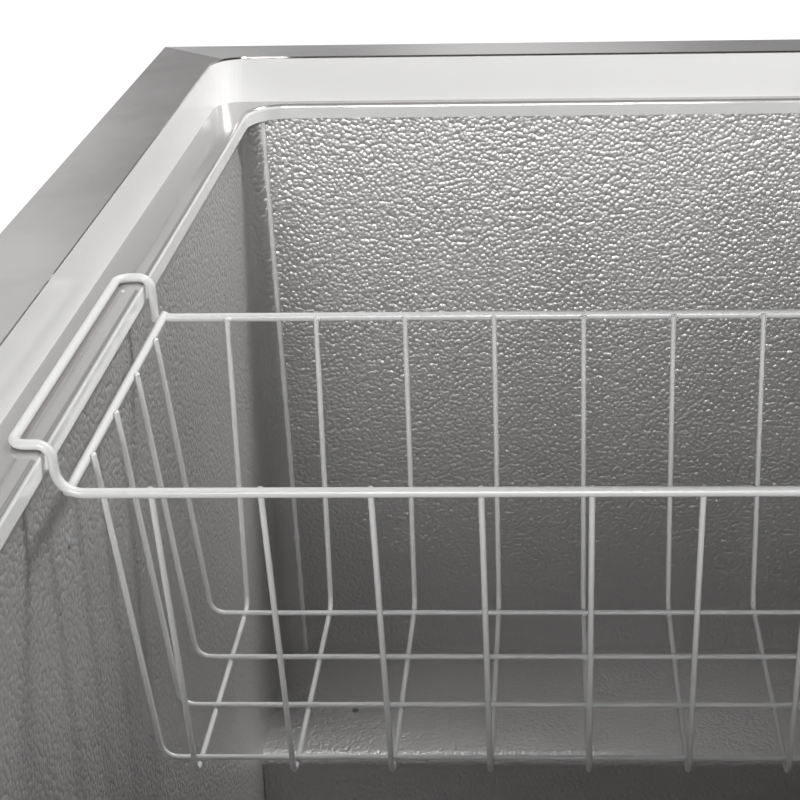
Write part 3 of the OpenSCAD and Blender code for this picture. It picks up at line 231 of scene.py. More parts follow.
def noise_of(tree, place, scale, detail=2.0, rough=0.5):
    inputs = {"Vector": place, "Scale": scale, "Detail": detail, "Roughness": rough}
    return add(tree, "ShaderNodeTexNoise", inputs).outputs[0]


def range_of(tree, value, old, new=(0.0, 1.0)):
    """The value carried from an old range to a new one, and held inside it."""
    inputs = {"Value": value, "From Min": old[0], "From Max": old[1]}
    inputs.update({"To Min": new[0], "To Max": new[1]})
    return add(tree, "ShaderNodeMapRange", inputs).outputs[0]


def parts_of(tree, vector):
    return add(tree, "ShaderNodeSeparateXYZ", {0: vector}).outputs


def vector_from(tree, x=0.0, y=0.0, z=0.0):
    return add(tree, "ShaderNodeCombineXYZ", {0: x, 1: y, 2: z}).outputs[0]


def switch_of(tree, mask, off, on):
    """off where the mask is 0, on where it is 1."""
    return add(tree, "ShaderNodeMix", {0: mask, 2: off, 3: on}, data_type="FLOAT").outputs[0]


def surface_normal(tree):
    return parts_of(tree, add(tree, "ShaderNodeNewGeometry").outputs["Normal"])


VECTOR, NUMBER = "NodeSocketVector", "NodeSocketFloat"


def effect_group(name, wanted, given):
    """Empty shader node group with named sockets: its tree, input sockets and output sockets."""
    tree = bpy.data.node_groups.new(name, "ShaderNodeTree")
    for label, kind, value in wanted:
        socket = tree.interface.new_socket(name=label, in_out="INPUT", socket_type=kind)
        if value is not None:
            socket.default_value = value
    for label, kind in given:
        tree.interface.new_socket(name=label, in_out="OUTPUT", socket_type=kind)
    source, result = tree.nodes.new("NodeGroupInput"), tree.nodes.new("NodeGroupOutput")
    return tree, source.outputs, result.inputs


def mottle_group():
    """Soft cloudy change between two values, for smudges, wear and uneven gloss."""
    wanted = [
        ("Vector", VECTOR, None),
        ("Scale", NUMBER, 20.0),
        ("Detail", NUMBER, 5.0),
        ("Low", NUMBER, 0.0),
        ("High", NUMBER, 1.0),
    ]
    tree, put, out = effect_group("mottle", wanted, [("Value", NUMBER)])
    cloud = noise_of(tree, put["Vector"], put["Scale"], put["Detail"], 0.62)
    tree.links.new(range_of(tree, cloud, (0.3, 0.7), (put["Low"], put["High"])), out["Value"])
    return tree


def brushed_group():
    """Fine strokes that run along the directions in which Stretch is small."""
    wanted = [("Vector", VECTOR, None), ("Stretch", VECTOR, (20.0, 20.0, 2800.0))]
    tree, put, out = effect_group("brushed_grain", wanted, [("Height", NUMBER)])
    pulled = vector_of(tree, "MULTIPLY", put["Vector"], put["Stretch"])
    fine = noise_of(tree, pulled, 1.0, 3.0, 0.7)
    broad = noise_of(tree, pulled, 0.13)
    tree.links.new(math_of(tree, "MULTIPLY_ADD", broad, 0.6, fine), out["Height"])
    return tree


def emboss_group():
    """Irregular round bumps of rolled sheet; Cells is the number of them in a metre."""
    wanted = [("Vector", VECTOR, None), ("Cells", NUMBER, 280.0)]
    tree, put, out = effect_group("rolled_emboss", wanted, [("Height", NUMBER), ("Facet", NUMBER)])
    swirl_inputs = {"Vector": put["Vector"], "Scale": put["Cells"], "Detail": 1.0}
    swirl = add(tree, "ShaderNodeTexNoise", swirl_inputs).outputs["Color"]
    off = vector_of(tree, "MULTIPLY", swirl, (0.9 * MM,) * 3)
    moved = vector_of(tree, "ADD", put["Vector"], off)
    cell_inputs = {"Vector": moved, "Scale": put["Cells"], "Smoothness": 0.25}
    cells = add(tree, "ShaderNodeTexVoronoi", cell_inputs, feature="SMOOTH_F1")
    from_centre = cells.outputs["Distance"]
    squared = math_of(tree, "MULTIPLY", from_centre, from_centre)
    dome = math_of(tree, "MULTIPLY_ADD", squared, -1.3, 1.0)
    small = noise_of(tree, moved, math_of(tree, "MULTIPLY", put["Cells"], 1.7))
    tree.links.new(math_of(tree, "MULTIPLY_ADD", small, 0.2, dome), out["Height"])
    tree.links.new(from_centre, out["Facet"])
    return tree


def dust_group():
    """Mask of dust that lies on upward faces, in patches."""
    wanted = [("Vector", VECTOR, None), ("Amount", NUMBER, 0.3)]
    tree, put, out = effect_group("settled_dust", wanted, [("Mask", NUMBER)])
    flat = math_of(tree, "SUBTRACT", surface_normal(tree)[2], 0.55, clamp=True)
    patch = math_of(tree, "MULTIPLY", flat, noise_of(tree, put["Vector"], 35.0, 6.0))
    tree.links.new(math_of(tree, "MULTIPLY", patch, put["Amount"], clamp=True), out["Mask"])
    return tree


EFFECTS = {
    "mottle": mottle_group,
    "brushed_grain": brushed_group,
    "rolled_emboss": emboss_group,
    "settled_dust": dust_group,
}


class Finish:
    """One procedural material, read in Object coordinates."""

    def __init__(self, name, colour, rough=0.4, metal=0.0, **plain):
        self.material = bpy.data.materials.new(name)
        self.material.use_nodes = True
        self.tree = self.material.node_tree
        self.shader = self.tree.nodes["Principled BSDF"]
        self.colour = tuple(colour) + (1.0,)
        self.shader.inputs["Base Color"].default_value = self.colour
        self.shader.inputs["Roughness"].default_value = rough
        self.shader.inputs["Metallic"].default_value = metal
        for key, value in plain.items():
            self.shader.inputs[key.replace("_", " ")].default_value = value
        self.place = add(self.tree, "ShaderNodeTexCoord").outputs["Object"]

    def effect(self, name, output, **values):
        """An output of one of the shared effects, with this material's own values."""
        group = bpy.data.node_groups.get(name) or EFFECTS[name]()
        inputs = {"Vector": self.place, **values}
        return add(self.tree, "ShaderNodeGroup", inputs, node_tree=group).outputs[output]

    def clouds(self, scale, low=0.0, high=1.0, detail=5.0):
        values = {"Scale": scale, "Detail": detail, "Low": low, "High": high}
        return self.effect("mottle", "Value", **values)

    def feed(self, socket, value):
        self.tree.links.new(value, self.shader.inputs[socket])

    def uneven_gloss(self, scale, low, high, detail=5.0):
        self.feed("Roughness", self.clouds(scale, low, high, detail))

    def blend_colour(self, mask, other):
        """Turns the colour into another one as the mask goes from 0 to 1."""
        socket = self.shader.inputs["Base Color"]
        base = socket.links[0].from_socket if socket.is_linked else self.colour
        inputs = {0: mask, 6: base, 7: tuple(other) + (1.0,)}
        self.feed("Base Color", add(self.tree, "ShaderNodeMix", inputs, data_type="RGBA").outputs[2])

    def bump(self, height, depth, strength=1.0):
        """Bump over those that are there already."""
        inputs = {"Height": height, "Distance": depth, "Strength": strength}
        normal = self.shader.inputs["Normal"]
        if normal.is_linked:
            inputs["Normal"] = normal.links[0].from_socket
        self.feed("Normal", add(self.tree, "ShaderNodeBump", inputs).outputs[0])

    def steep_faces(self):
        """Mask that is 1 where the surface stands upright and 0 where it lies flat."""
        rise = math_of(self.tree, "ABSOLUTE", surface_normal(self.tree)[2])
        return range_of(self.tree, rise, (0.75, 0.35))


def shade(colour, factor):
    return tuple(min(1.0, part * factor) for part in colour)


# ---------- finishes ----------


def along_the_band(finish):
    """Coordinates in which every strip of the rim runs along the first axis; strips meet in mitres."""
    tree = finish.tree
    centre, reach = middle("rim_frame"), extent("rim_frame") / 2
    here = parts_of(tree, finish.place)
    inward = []
    for axis in range(2):
        off = math_of(tree, "ABSOLUTE", math_of(tree, "SUBTRACT", here[axis], centre[axis]))
        inward.append(math_of(tree, "SUBTRACT", reach[axis], off))
    on_short_strip = math_of(tree, "LESS_THAN", *inward)
    swapped = vector_from(tree, here[1], here[0], here[2])
    inputs = {0: on_short_strip, 4: finish.place, 5: swapped}
    return add(tree, "ShaderNodeMix", inputs, data_type="VECTOR").outputs[1]


def rim_steel():
    steel = colours().steel
    finish = Finish("brushed_steel_rim", steel, 0.2, 1.0)
    across = 1.0 / sizes().grain_width
    stretch = (6.0, across, across)
    grain = finish.effect(
        "brushed_grain", "Height", Vector=along_the_band(finish), Stretch=stretch
    )
    finish.uneven_gloss(9.0, 0.07, 0.16)
    finish.blend_colour(finish.clouds(4.5, 0.0, 0.75), shade(steel, 1.35))
    finish.blend_colour(finish.clouds(2.6, -1.2, 1.0), shade(steel, 0.72))
    finish.bump(grain, 0.03 * MM, 0.35)
    finish.bump(finish.clouds(6.0, detail=0.0), 1.2 * MM, 0.5)
    return finish.material


def wrap_steel():
    steel = colours().steel
    finish = Finish("brushed_steel_wrap", shade(steel, 0.82), 0.3, 1.0)
    tree = finish.tree
    across, along = 1.0 / sizes().grain_width, 7.0
    facing = math_of(tree, "ABSOLUTE", surface_normal(tree)[0])
    on_ends = math_of(tree, "GREATER_THAN", facing, 0.7)
    over_y = range_of(tree, on_ends, (0.0, 1.0), (across, along))
    stretch = vector_from(tree, along, over_y, across)
    grain = finish.effect("brushed_grain", "Height", Stretch=stretch)
    finish.uneven_gloss(6.0, 0.29, 0.36)
    finish.blend_colour(finish.clouds(2.5, 0.0, 0.4), shade(steel, 0.95))
    strokes = math_of(tree, "SUBTRACT", grain, 0.5, clamp=True)
    finish.blend_colour(strokes, shade(steel, 0.66))
    return finish.material


def collar_plastic():
    collar = colours().collar
    finish = Finish("gloss_collar", collar, 0.16, Specular_IOR_Level=0.55)
    finish.uneven_gloss(14.0, 0.12, 0.22)
    finish.blend_colour(finish.clouds(5.0, 0.0, 0.35), shade(collar, 0.965))
    finish.bump(finish.clouds(16.0, detail=0.0), 0.6 * MM, 0.4)
    return finish.material


def ledge_steel():
    """Polished sheet; its turned-down edge is painted paler and duller than its top, a painted
    highlight along that edge.
    """
    ledge = colours().ledge
    finish = Finish("polished_ledge", ledge, 0.1, 1.0)
    finish.uneven_gloss(16.0, 0.07, 0.16)
    finish.blend_colour(finish.clouds(8.0, 0.0, 0.5), shade(ledge, 1.14))
    finish.bump(finish.clouds(9.0, detail=0.0), 0.9 * MM, 0.5)
    # Painted highlight: the upright turned-down edge gets a pale colour and less metal, standing in
    # for the bright line that light gives it.
    painted_highlight_lip = finish.steep_faces()
    finish.blend_colour(painted_highlight_lip, (0.86, 0.86, 0.855))
    duller = math_of(finish.tree, "MULTIPLY", painted_highlight_lip, 0.6)
    finish.feed("Metallic", math_of(finish.tree, "SUBTRACT", 0.8, duller))
    return finish.material


def tank_sheet():
    tank = colours().tank
    finish = Finish("embossed_tank", tank, 0.42, 0.74)
    finish.uneven_gloss(5.0, 0.38, 0.5)
    finish.blend_colour(finish.clouds(3.2, 0.0, 0.5), shade(tank, 0.9))
    bumps = finish.effect("rolled_emboss", "Height", Cells=1.0 / sizes().emboss_cell)
    finish.bump(bumps, sizes().emboss_depth)
    return finish.material


def galvanised_sheet():
    finish = Finish("galvanised_sheet", (0.33, 0.335, 0.34), 0.4, 1.0)
    spangle = finish.effect("rolled_emboss", "Facet", Cells=70.0)
    finish.blend_colour(spangle, (0.385, 0.39, 0.395))
    finish.uneven_gloss(60.0, 0.34, 0.5)
    finish.blend_colour(finish.effect("settled_dust", "Mask", Amount=1.4), (0.42, 0.4, 0.37))
    return finish.material


def zinc_plate():
    finish = Finish("zinc_plate", (0.6, 0.61, 0.6), 0.3, 1.0)
    finish.uneven_gloss(150.0, 0.29, 0.42)
    finish.blend_colour(finish.clouds(60.0, 0.0, 0.5), (0.5, 0.5, 0.47))
    finish.bump(finish.clouds(900.0), 0.05 * MM, 0.4)
    return finish.material


def wire_coating():
    coating = colours().coating
    finish = Finish("wire_coating", coating, 0.3, Coat_Weight=0.15, Coat_Roughness=0.2)
    finish.uneven_gloss(14.0, 0.28, 0.36, detail=0.0)
    finish.blend_colour(finish.clouds(30.0, 0.0, 0.4), shade(coating, 0.95))
    finish.bump(finish.clouds(30.0, detail=0.0), 0.2 * MM, 0.3)
    return finish.material


def black_paint():
    black = (0.018, 0.018, 0.019)
    finish = Finish("black_paint", black, 0.3, Coat_Weight=0.3, Coat_Roughness=0.2)
    finish.uneven_gloss(80.0, 0.29, 0.42)
    finish.blend_colour(finish.effect("settled_dust", "Mask", Amount=1.2), (0.3, 0.28, 0.25))
    finish.bump(finish.clouds(500.0), 0.1 * MM, 0.5)
    return finish.material


def copper_tube():
    finish = Finish("copper_tube", (0.72, 0.36, 0.22), 0.3, 1.0)
    finish.uneven_gloss(90.0, 0.29, 0.45)
    finish.blend_colour(finish.clouds(40.0, 0.0, 0.8), (0.42, 0.2, 0.13))
    return finish.material


def moulded(name, colour, rough, grain, depth):
    """Moulded plastic with a fine spark texture."""
    finish = Finish(name, colour, rough)
    finish.uneven_gloss(30.0, rough - 0.03, rough + 0.05, detail=2.0)
    finish.blend_colour(finish.clouds(7.0, 0.0, 0.4, detail=2.0), shade(colour, 0.95))
    finish.bump(finish.clouds(grain), depth, 0.5)
    return finish.material


def rigid_foam():
    finish = Finish("rigid_foam", (0.78, 0.66, 0.38), 0.85)
    finish.blend_colour(finish.clouds(40.0), (0.7, 0.55, 0.28))
    finish.bump(finish.effect("rolled_emboss", "Height", Cells=500.0), 0.8 * MM, 0.8)
    return finish.material


def lamp_lens():
    finish = Finish("lamp_lens", (0.6, 0.03, 0.02), 0.12, Coat_Weight=0.6)
    finish.uneven_gloss(200.0, 0.08, 0.18)
    return finish.material


FINISHES = {
    "rim_steel": rim_steel,
    "wrap_steel": wrap_steel,
    "collar_plastic": collar_plastic,
    "ledge_steel": ledge_steel,
    "tank_sheet": tank_sheet,
    "galvanised": galvanised_sheet,
    "zinc": zinc_plate,
    "coating": wire_coating,
    "black_paint": black_paint,
    "copper": copper_tube,
    "foam": rigid_foam,
    "lamp": lamp_lens,
    "lining": lambda: moulded("moulded_lining", colours().lining, 0.33, 300.0, 0.04 * MM),
    "trim": lambda: moulded("dark_trim", colours().trim, 0.42, 1400.0, 0.12 * MM),
    "grey_plastic": lambda: moulded("grey_plastic", (0.24, 0.25, 0.26), 0.4, 900.0, 0.1 * MM),
    "white_plastic": lambda: moulded("white_plastic", (0.8, 0.8, 0.79), 0.32, 700.0, 0.08 * MM),
    "rubber": lambda: moulded("black_rubber", (0.02, 0.02, 0.02), 0.62, 800.0, 0.2 * MM),
    "gasket": lambda: moulded("gasket_vinyl", (0.5, 0.51, 0.52), 0.5, 500.0, 0.1 * MM),
    "nylon": lambda: moulded("nylon", (0.74, 0.72, 0.66), 0.35, 400.0, 0.08 * MM),
}


def finish_of(name):
    """The named material, built when it is first asked for."""
    kept = "finish_" + name
    if bpy.context.scene.get(kept) is None:
        bpy.context.scene[kept] = FINISHES[name]()
    return bpy.context.scene[kept]


def dress(finish, *nodes):
    """Gives each of these solids one finish."""
    for name in nodes:
        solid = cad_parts[name]
        for slot in solid.material_slots:
            slot.material = finish_of(finish)
        if not solid.material_slots:
            solid.data.materials.append(finish_of(finish))


# ---------- repeated details, made with Geometry Nodes ----------


class Recipe:
    """A Geometry Nodes tree with named inputs, run once on a set of points."""

    def __init__(self, name, finish):
        self.tree = bpy.data.node_groups.new(name, "GeometryNodeTree")
        for way in ("INPUT", "OUTPUT"):
            self.tree.interface.new_socket(
                name="Geometry", in_out=way, socket_type="NodeSocketGeometry"
            )
        self.values = {}
        self.source = self.tree.nodes.new("NodeGroupInput")
        self.result = self.tree.nodes.new("NodeGroupOutput")
        self.finish = self.wants("Finish", "Material", finish_of(finish))

    def wants(self, label, kind, value):
        """Named input of the tree, with the value that this run gives it."""
        socket = self.tree.interface.new_socket(
            name=label, in_out="INPUT", socket_type="NodeSocket" + kind
        )
        self.values[socket.identifier] = value
        return self.source.outputs[label]

    def add(self, kind, inputs=None, **settings):
        return add(self.tree, kind, inputs, **settings)

    def grow(self, instance, **more):
        """Ends the tree: the instance on every point, as one plain coloured mesh."""
        inputs = {"Points": self.source.outputs["Geometry"], "Instance": instance, **more}
        grown = self.add("GeometryNodeInstanceOnPoints", inputs).outputs[0]
        solid = self.add("GeometryNodeRealizeInstances", {"Geometry": grown}).outputs[0]
        inputs = {"Geometry": solid, "Material": self.finish}
        coloured = self.add("GeometryNodeSetMaterial", inputs).outputs[0]
        self.tree.links.new(coloured, self.result.inputs["Geometry"])

    def run(self, name, points, body, slot, smooth=True):
        """Plain mesh piece grown on the points, riding on the body."""
        seed = bpy.data.meshes.new(name + "_points")
        seed.from_pydata([tuple(p) for p in points], [], [])
        worker = bpy.data.objects.new(name + "_work", seed)
        bpy.context.collection.objects.link(worker)
        modifier = worker.modifiers.new("recipe", "NODES")
        modifier.node_group = self.tree
        for identifier, value in self.values.items():
            modifier[identifier] = value
        bpy.context.view_layer.update()
        seen = worker.evaluated_get(bpy.context.evaluated_depsgraph_get())
        mesh = bpy.data.meshes.new_from_object(seen)
        mesh.name = name
        bpy.data.objects.remove(worker)
        bpy.data.meshes.remove(seed)
        if smooth:
            mesh.shade_smooth()
        return new_piece(name, mesh, body)


def new_piece(name, mesh, body):
    piece = bpy.data.objects.new(name, mesh)
    bpy.context.collection.objects.link(piece)
    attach(piece, body)
    return piece


def bead_recipe(radius, drawn_out):
    """Bead of coating on each point."""
    recipe = Recipe("weld_beads", "coating")
    size = recipe.wants("Bead Radius", "Float", radius)
    stretch = recipe.wants("Drawn Out", "Vector", drawn_out)
    ball = recipe.add("GeometryNodeMeshIcoSphere", {"Radius": size, "Subdivisions": 2})
    recipe.grow(ball.outputs[0], Scale=stretch)
    return recipe


def screw_recipe(radius, height, slot, turn):
    """Pan head with a cross recess, its axis along Z before it is turned."""
    recipe = Recipe("cross_head_screws", "zinc")
    tree = recipe.tree
    wide = recipe.wants("Head Radius", "Float", radius)
    tall = recipe.wants("Head Height", "Float", height)
    cut = recipe.wants("Slot Width", "Float", slot)
    lean = recipe.wants("Turn", "Vector", turn)
    cone = {
        "Vertices": 32,
        "Radius Top": math_of(tree, "MULTIPLY", wide, SCREW_TOP),
        "Radius Bottom": wide,
        "Depth": tall,
    }
    head = recipe.add("GeometryNodeMeshCone", cone).outputs[0]
    cutting = {"operation": "DIFFERENCE", "solver": "EXACT"}
    recess = recipe.add("GeometryNodeMeshBoolean", {"Mesh 1": head}, **cutting)
    lift = vector_from(tree, z=tall)
    reach = math_of(tree, "MULTIPLY", wide, SCREW_SLOT_REACH)
    for size_x, size_y in ((reach, cut), (cut, reach)):
        size = vector_from(tree, size_x, size_y, tall)
        bar = recipe.add("GeometryNodeMeshCube", {"Size": size}).outputs[0]
        raised = recipe.add("GeometryNodeTransform", {"Geometry": bar, "Translation": lift})
        tree.links.new(raised.outputs[0], recess.inputs["Mesh 2"])
    angle = recipe.add("FunctionNodeEulerToRotation", {0: lean}).outputs[0]
    recipe.grow(recess.outputs[0], Rotation=angle)
    return recipe


def tick_recipe(radius, count, tick, start, sweep):
    """Ticks on an arc round each point, drawn in the X-Z plane."""
    recipe = Recipe("dial_ticks", "white_plastic")
    arc = {
        "Radius": recipe.wants("Radius", "Float", radius),
        "Start Angle": recipe.wants("Start", "Float", start),
        "Sweep Angle": recipe.wants("Sweep", "Float", sweep),
        "Resolution": 64,
    }
    curve = recipe.add("GeometryNodeCurveArc", arc).outputs[0]
    number = recipe.wants("Count", "Int", count)
    stops = recipe.add(
        "GeometryNodeCurveToPoints", {"Curve": curve, "Count": number}, mode="COUNT"
    )
    size = recipe.wants("Tick Size", "Vector", tick)
    bar = recipe.add("GeometryNodeMeshCube", {"Size": size}).outputs[0]
    outward = recipe.add("GeometryNodeInputPosition").outputs[0]
    aim = recipe.add("FunctionNodeAlignRotationToVector", {"Vector": outward}, axis="Y")
    marks = {"Points": stops.outputs["Points"], "Instance": bar, "Rotation": aim.outputs[0]}
    ring = recipe.add("GeometryNodeInstanceOnPoints", marks).outputs[0]
    upright = {"Geometry": ring, "Rotation": (math.pi / 2, 0.0, 0.0)}
    recipe.grow(recipe.add("GeometryNodeTransform", upright).outputs[0])
    return recipe


def seam_recipe(radius, drop):
    """Uneven bead of sealant that hangs down from each point."""
    recipe = Recipe("seam_beads", "lining")
    tree = recipe.tree
    size = recipe.wants("Bead Radius", "Float", radius)
    deep = recipe.wants("Drop", "Float", drop)
    shape = {"Vertices": 10, "Side Segments": 120, "Radius": size, "Depth": deep}
    rod = recipe.add("GeometryNodeMeshCylinder", shape, fill_type="NGON").outputs[0]
    place = recipe.add("GeometryNodeInputPosition").outputs[0]
    along = parts_of(tree, place)[2]
    lumps = {"W": along, "Scale": 70.0, "Detail": 2.0}
    lumps = recipe.add("ShaderNodeTexNoise", lumps, noise_dimensions="1D").outputs[0]
    fat = range_of(tree, lumps, (0.3, 0.7), SEAM_LUMPS)
    lumpy = vector_of(tree, "MULTIPLY", place, vector_from(tree, fat, fat, 1.0))
    bead = recipe.add("GeometryNodeSetPosition", {"Geometry": rod, "Position": lumpy}).outputs[0]
    lower = vector_from(tree, z=math_of(tree, "MULTIPLY", deep, -0.5))
    hung = recipe.add("GeometryNodeTransform", {"Geometry": bead, "Translation": lower})
    recipe.grow(hung.outputs[0])
    return recipe


# ---------- operators: one for each piece or group of pieces ----------


class FREEZER_OT_cabinet(bpy.types.Operator):
    """Finish the wrap, the back, the base and what stands on the floor"""

    bl_idname = "freezer.cabinet"
    bl_label = "Cabinet"

    def execute(self, context):
        dress("wrap_steel", "outer_shell")
        dress("galvanised", "back_panel", "base_plate", "bay_plate")
        dress("black_paint", "base_rails")
        dress("rubber", "feet", "cable_gland")
        dress("foam", "cabinet_foam")
        dress("trim", "side_grille")
        low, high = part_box("back_panel")
        side = high.x - SCREW_INSET
        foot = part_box("base_plate")[1].z - SCREW_RADIUS
        rise = high.z - low.z
        points = [(x, high.y, low.z + k * rise) for x in (-side, side) for k in SIDE_SCREWS]
        points += [(k * side, high.y, foot) for k in FOOT_SCREWS]
        backward = (-math.pi / 2, 0.0, 0.0)
        screws = screw_recipe(SCREW_RADIUS, SCREW_HEIGHT, sizes().screw_slot, backward)
        screws.run("back_screws", points, "cabinet", "zinc_plated", smooth=False)
        return {"FINISHED"}


class FREEZER_OT_tank(bpy.types.Operator):
    """Finish the rim, the collar, the ledge and the embossed tank, and seal its corners"""

    bl_idname = "freezer.tank"
    bl_label = "Rim and tank"

    def execute(self, context):
        dress("rim_steel", "rim_frame")
        dress("collar_plastic", "throat_frame")
        dress("ledge_steel", "ledge_frame")
        dress("tank_sheet", "liner")
        dress("grey_plastic", "liner_plugs", "drain_plug")
        low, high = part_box("liner")
        half_length = high.x - TANK_FLANGE - TANK_CORNER * (1 - math.cos(SEAM_TURN))
        half_depth = (high.y - low.y) / 2 - TANK_FLANGE - TANK_CORNER * (1 - math.sin(SEAM_TURN))
        centre = middle("liner").y
        top = high.z - 2 * TANK_SHEET
        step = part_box("liner_plugs")[0].z
        for place, side, foot in (("far", -1, step), ("near", 1, low.z)):
            points = [(side * half_length, centre + hand * half_depth, top) for hand in (-1, 1)]
            seam = seam_recipe(sizes().seam_radius, top - foot - TANK_SHEET)
            seam.run("seam_beads_" + place, points, "cabinet", "white_plastic")
        return {"FINISHED"}


def merged_solid(node):
    """Editable mesh of a solid with its loose triangles joined."""
    joined = bmesh.new()
    joined.from_mesh(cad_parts[node].data)
    bmesh.ops.remove_doubles(joined, verts=joined.verts, dist=MERGE_WITHIN)
    return joined


def loose_parts(node):
    """Boxes of the separate solids of a node, in order along X and then Y."""
    mesh = merged_solid(node)
    found = []
    left = set(mesh.verts)
    while left:
        group, edge = set(), [left.pop()]
        while edge:
            vertex = edge.pop()
            group.add(vertex)
            for other in (link.other_vert(vertex) for link in vertex.link_edges):
                if other in left:
                    left.remove(other)
                    edge.append(other)
        found.append([Vector(f(v.co[k] for v in group) for k in range(3)) for f in (min, max)])
    mesh.free()
    return sorted(found, key=lambda part: (round(part[0].x, 4), round(part[0].y, 4)))


def basket_welds():
    """Points at which the basket's wires cross, by kind of weld."""
    rim = middle("basket_far_rim")
    thick = extent("basket_far_rim").z / 2
    cross_wires, long_wires = loose_parts("basket_cross_wires"), loose_parts("basket_long_wires")
    thin = (cross_wires[0][1].y - cross_wires[0][0].y) / 2
    across = [((low + high) / 2).y for low, high in cross_wires]
    along = [((low + high) / 2).x for low, high in long_wires]

    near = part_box("basket_near_rim")[1].x - thick
    inward = thick * RIM_BEAD_INWARD
    level = rim.z - thick * RIM_BEAD_DROP
    rims = [(x, y, level) for y in across for x in (rim.x + inward, near - inward)]

    low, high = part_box("basket_long_wires")
    level = high.z - thin * BAR_BEAD_DROP
    bars = [(x, y, level) for x in along for y in (low.y + thin, high.y - thin)]

    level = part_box("basket_cross_wires")[0].z + thin * FLOOR_BEAD_RISE
    floor = [(x, y, level) for x in along for y in across]

    low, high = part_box("basket_end_bars")
    ends = (low.y + thick, high.y - thick)
    corners = [(x, y, rim.z) for x in (rim.x, high.x) for y in ends]
    return {"rims": rims, "bars": bars, "floor": floor, "corners": corners}


class FREEZER_OT_basket(bpy.types.Operator):
    """Coat the basket's wires and pool the coating at each weld"""

    bl_idname = "freezer.basket"
    bl_label = "Basket"

    def execute(self, context):
        dress("coating", "basket_near_rim", "basket_hooks", "basket_far_rim")
        dress("coating", "basket_end_bars", "basket_cross_wires", "basket_long_wires")
        for kind, points in basket_welds().items():
            beads = bead_recipe(sizes().bead_radius, BEAD_SHAPES[kind])
            beads.run("weld_beads_" + kind, points, "basket", "coated_wire")
        return {"FINISHED"}


class FREEZER_OT_lid(bpy.types.Operator):
    """Finish the lid, its gasket, its handle and the lock"""

    bl_idname = "freezer.lid"
    bl_label = "Lid"

    def execute(self, context):
        dress("wrap_steel", "lid_skin")
        dress("lining", "lid_panel")
        dress("foam", "lid_foam")
        dress("gasket", "lid_gasket")
        dress("trim", "lid_handle")
        dress("zinc", "lock_barrel", "lock_tongue", "lock_keeper")
        return {"FINISHED"}


def smooth_copy(node, name):
    """Mesh like a solid's, smooth all over, with the solid's material."""
    joined = merged_solid(node)
    mesh = bpy.data.meshes.new(name)
    joined.to_mesh(mesh)
    joined.free()
    if "custom_normal" in mesh.attributes:
        mesh.attributes.remove(mesh.attributes["custom_normal"])
    mesh.shade_smooth()
    mesh.materials.clear()
    mesh.materials.append(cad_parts[node].material_slots[0].material)
    return mesh


class FREEZER_OT_hinges(bpy.types.Operator):
    """Finish the hinges, and swap the springs for a smooth copy that rides on the cabinet"""

    bl_idname = "freezer.hinges"
    bl_label = "Hinges"

    def execute(self, context):
        dress("zinc", "hinge_channels", "hinge_screws", "hinge_pins", "hinge_springs")
        dress("zinc", "hinge_arms", "arm_screws")
        dress("nylon", "hinge_plungers")
        mesh = smooth_copy("hinge_springs", "lift_springs")
        coils = new_piece("lift_springs", mesh, "cabinet")
        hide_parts("hinge_springs")
        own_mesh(coils)
        return {"FINISHED"}


class FREEZER_OT_controls(bpy.types.Operator):
    """Finish the control panel and the drain"""

    bl_idname = "freezer.controls"
    bl_label = "Controls and drain"

    def execute(self, context):
        dress("trim", "control_panel", "thermostat_knob", "rocker_switch")
        dress("grey_plastic", "thermostat_body")
        dress("lamp", "indicator_lamps")
        dress("white_plastic", "drain_pipe", "drain_cap")
        tick = sizes().tick_length
        reach = extent("thermostat_knob").x / 2 + TICK_STAND_OFF * tick
        bar = (TICK_WIDTH, tick, TICK_HEIGHT)
        dial = tick_recipe(reach, sizes().tick_count, bar, TICK_START, TICK_SWEEP)
        knob = middle("thermostat_knob")
        centre = (knob.x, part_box("control_panel")[1].y - PANEL_SKIN, knob.z)
        dial.run("dial_ticks", [centre], "cabinet", "white_plastic", smooth=False)
        return {"FINISHED"}


class FREEZER_OT_cooling(bpy.types.Operator):
    """Finish the compressor and the tubes"""

    bl_idname = "freezer.cooling"
    bl_label = "Cooling circuit"

    def execute(self, context):
        dress("black_paint", "compressor")
        dress("rubber", "compressor_grommets")
        dress("zinc", "compressor_bolts")
        dress("white_plastic", "relay_cover")
        dress("copper", "evaporator_coil", "condenser_coil", "suction_pipe", "discharge_pipe")
        dress("copper", "filter_drier", "capillary_tube")
        return {"FINISHED"}


# ---------- stage ----------


def build_floor():
    """Matte floor whose glow is seen by the camera and in reflections, and lights nothing."""
    finish = Finish("studio_floor", colours().floor, 0.85)
    tree = finish.tree
    path = add(tree, "ShaderNodeLightPath").outputs
    away = vector_of(tree, "LENGTH", finish.place, output="Value")
    shown = range_of(tree, away, GLOW_DISTANCES, (FLOOR_GLOW, 1.0))
    mirrored = math_of(tree, "MAXIMUM", path["Is Glossy Ray"], path["Is Transmission Ray"])
    mirrored = math_of(tree, "MULTIPLY", mirrored, MIRRORED_GLOW)
    finish.shader.inputs["Emission Color"].default_value = (1.0, 1.0, 1.0, 1.0)
    finish.feed("Emission Strength", switch_of(tree, path["Is Camera Ray"], mirrored, shown))

    mesh = bpy.data.meshes.new("studio_floor")
    square = [(-1, -1), (1, -1), (1, 1), (-1, 1)]
    corners = [(x * FLOOR_REACH, y * FLOOR_REACH, 0) for x, y in square]
    mesh.from_pydata(corners, [], [(0, 1, 2, 3)])
    mesh.materials.append(finish.material)
    floor = bpy.data.objects.new("studio_floor", mesh)
    bpy.context.collection.objects.link(floor)


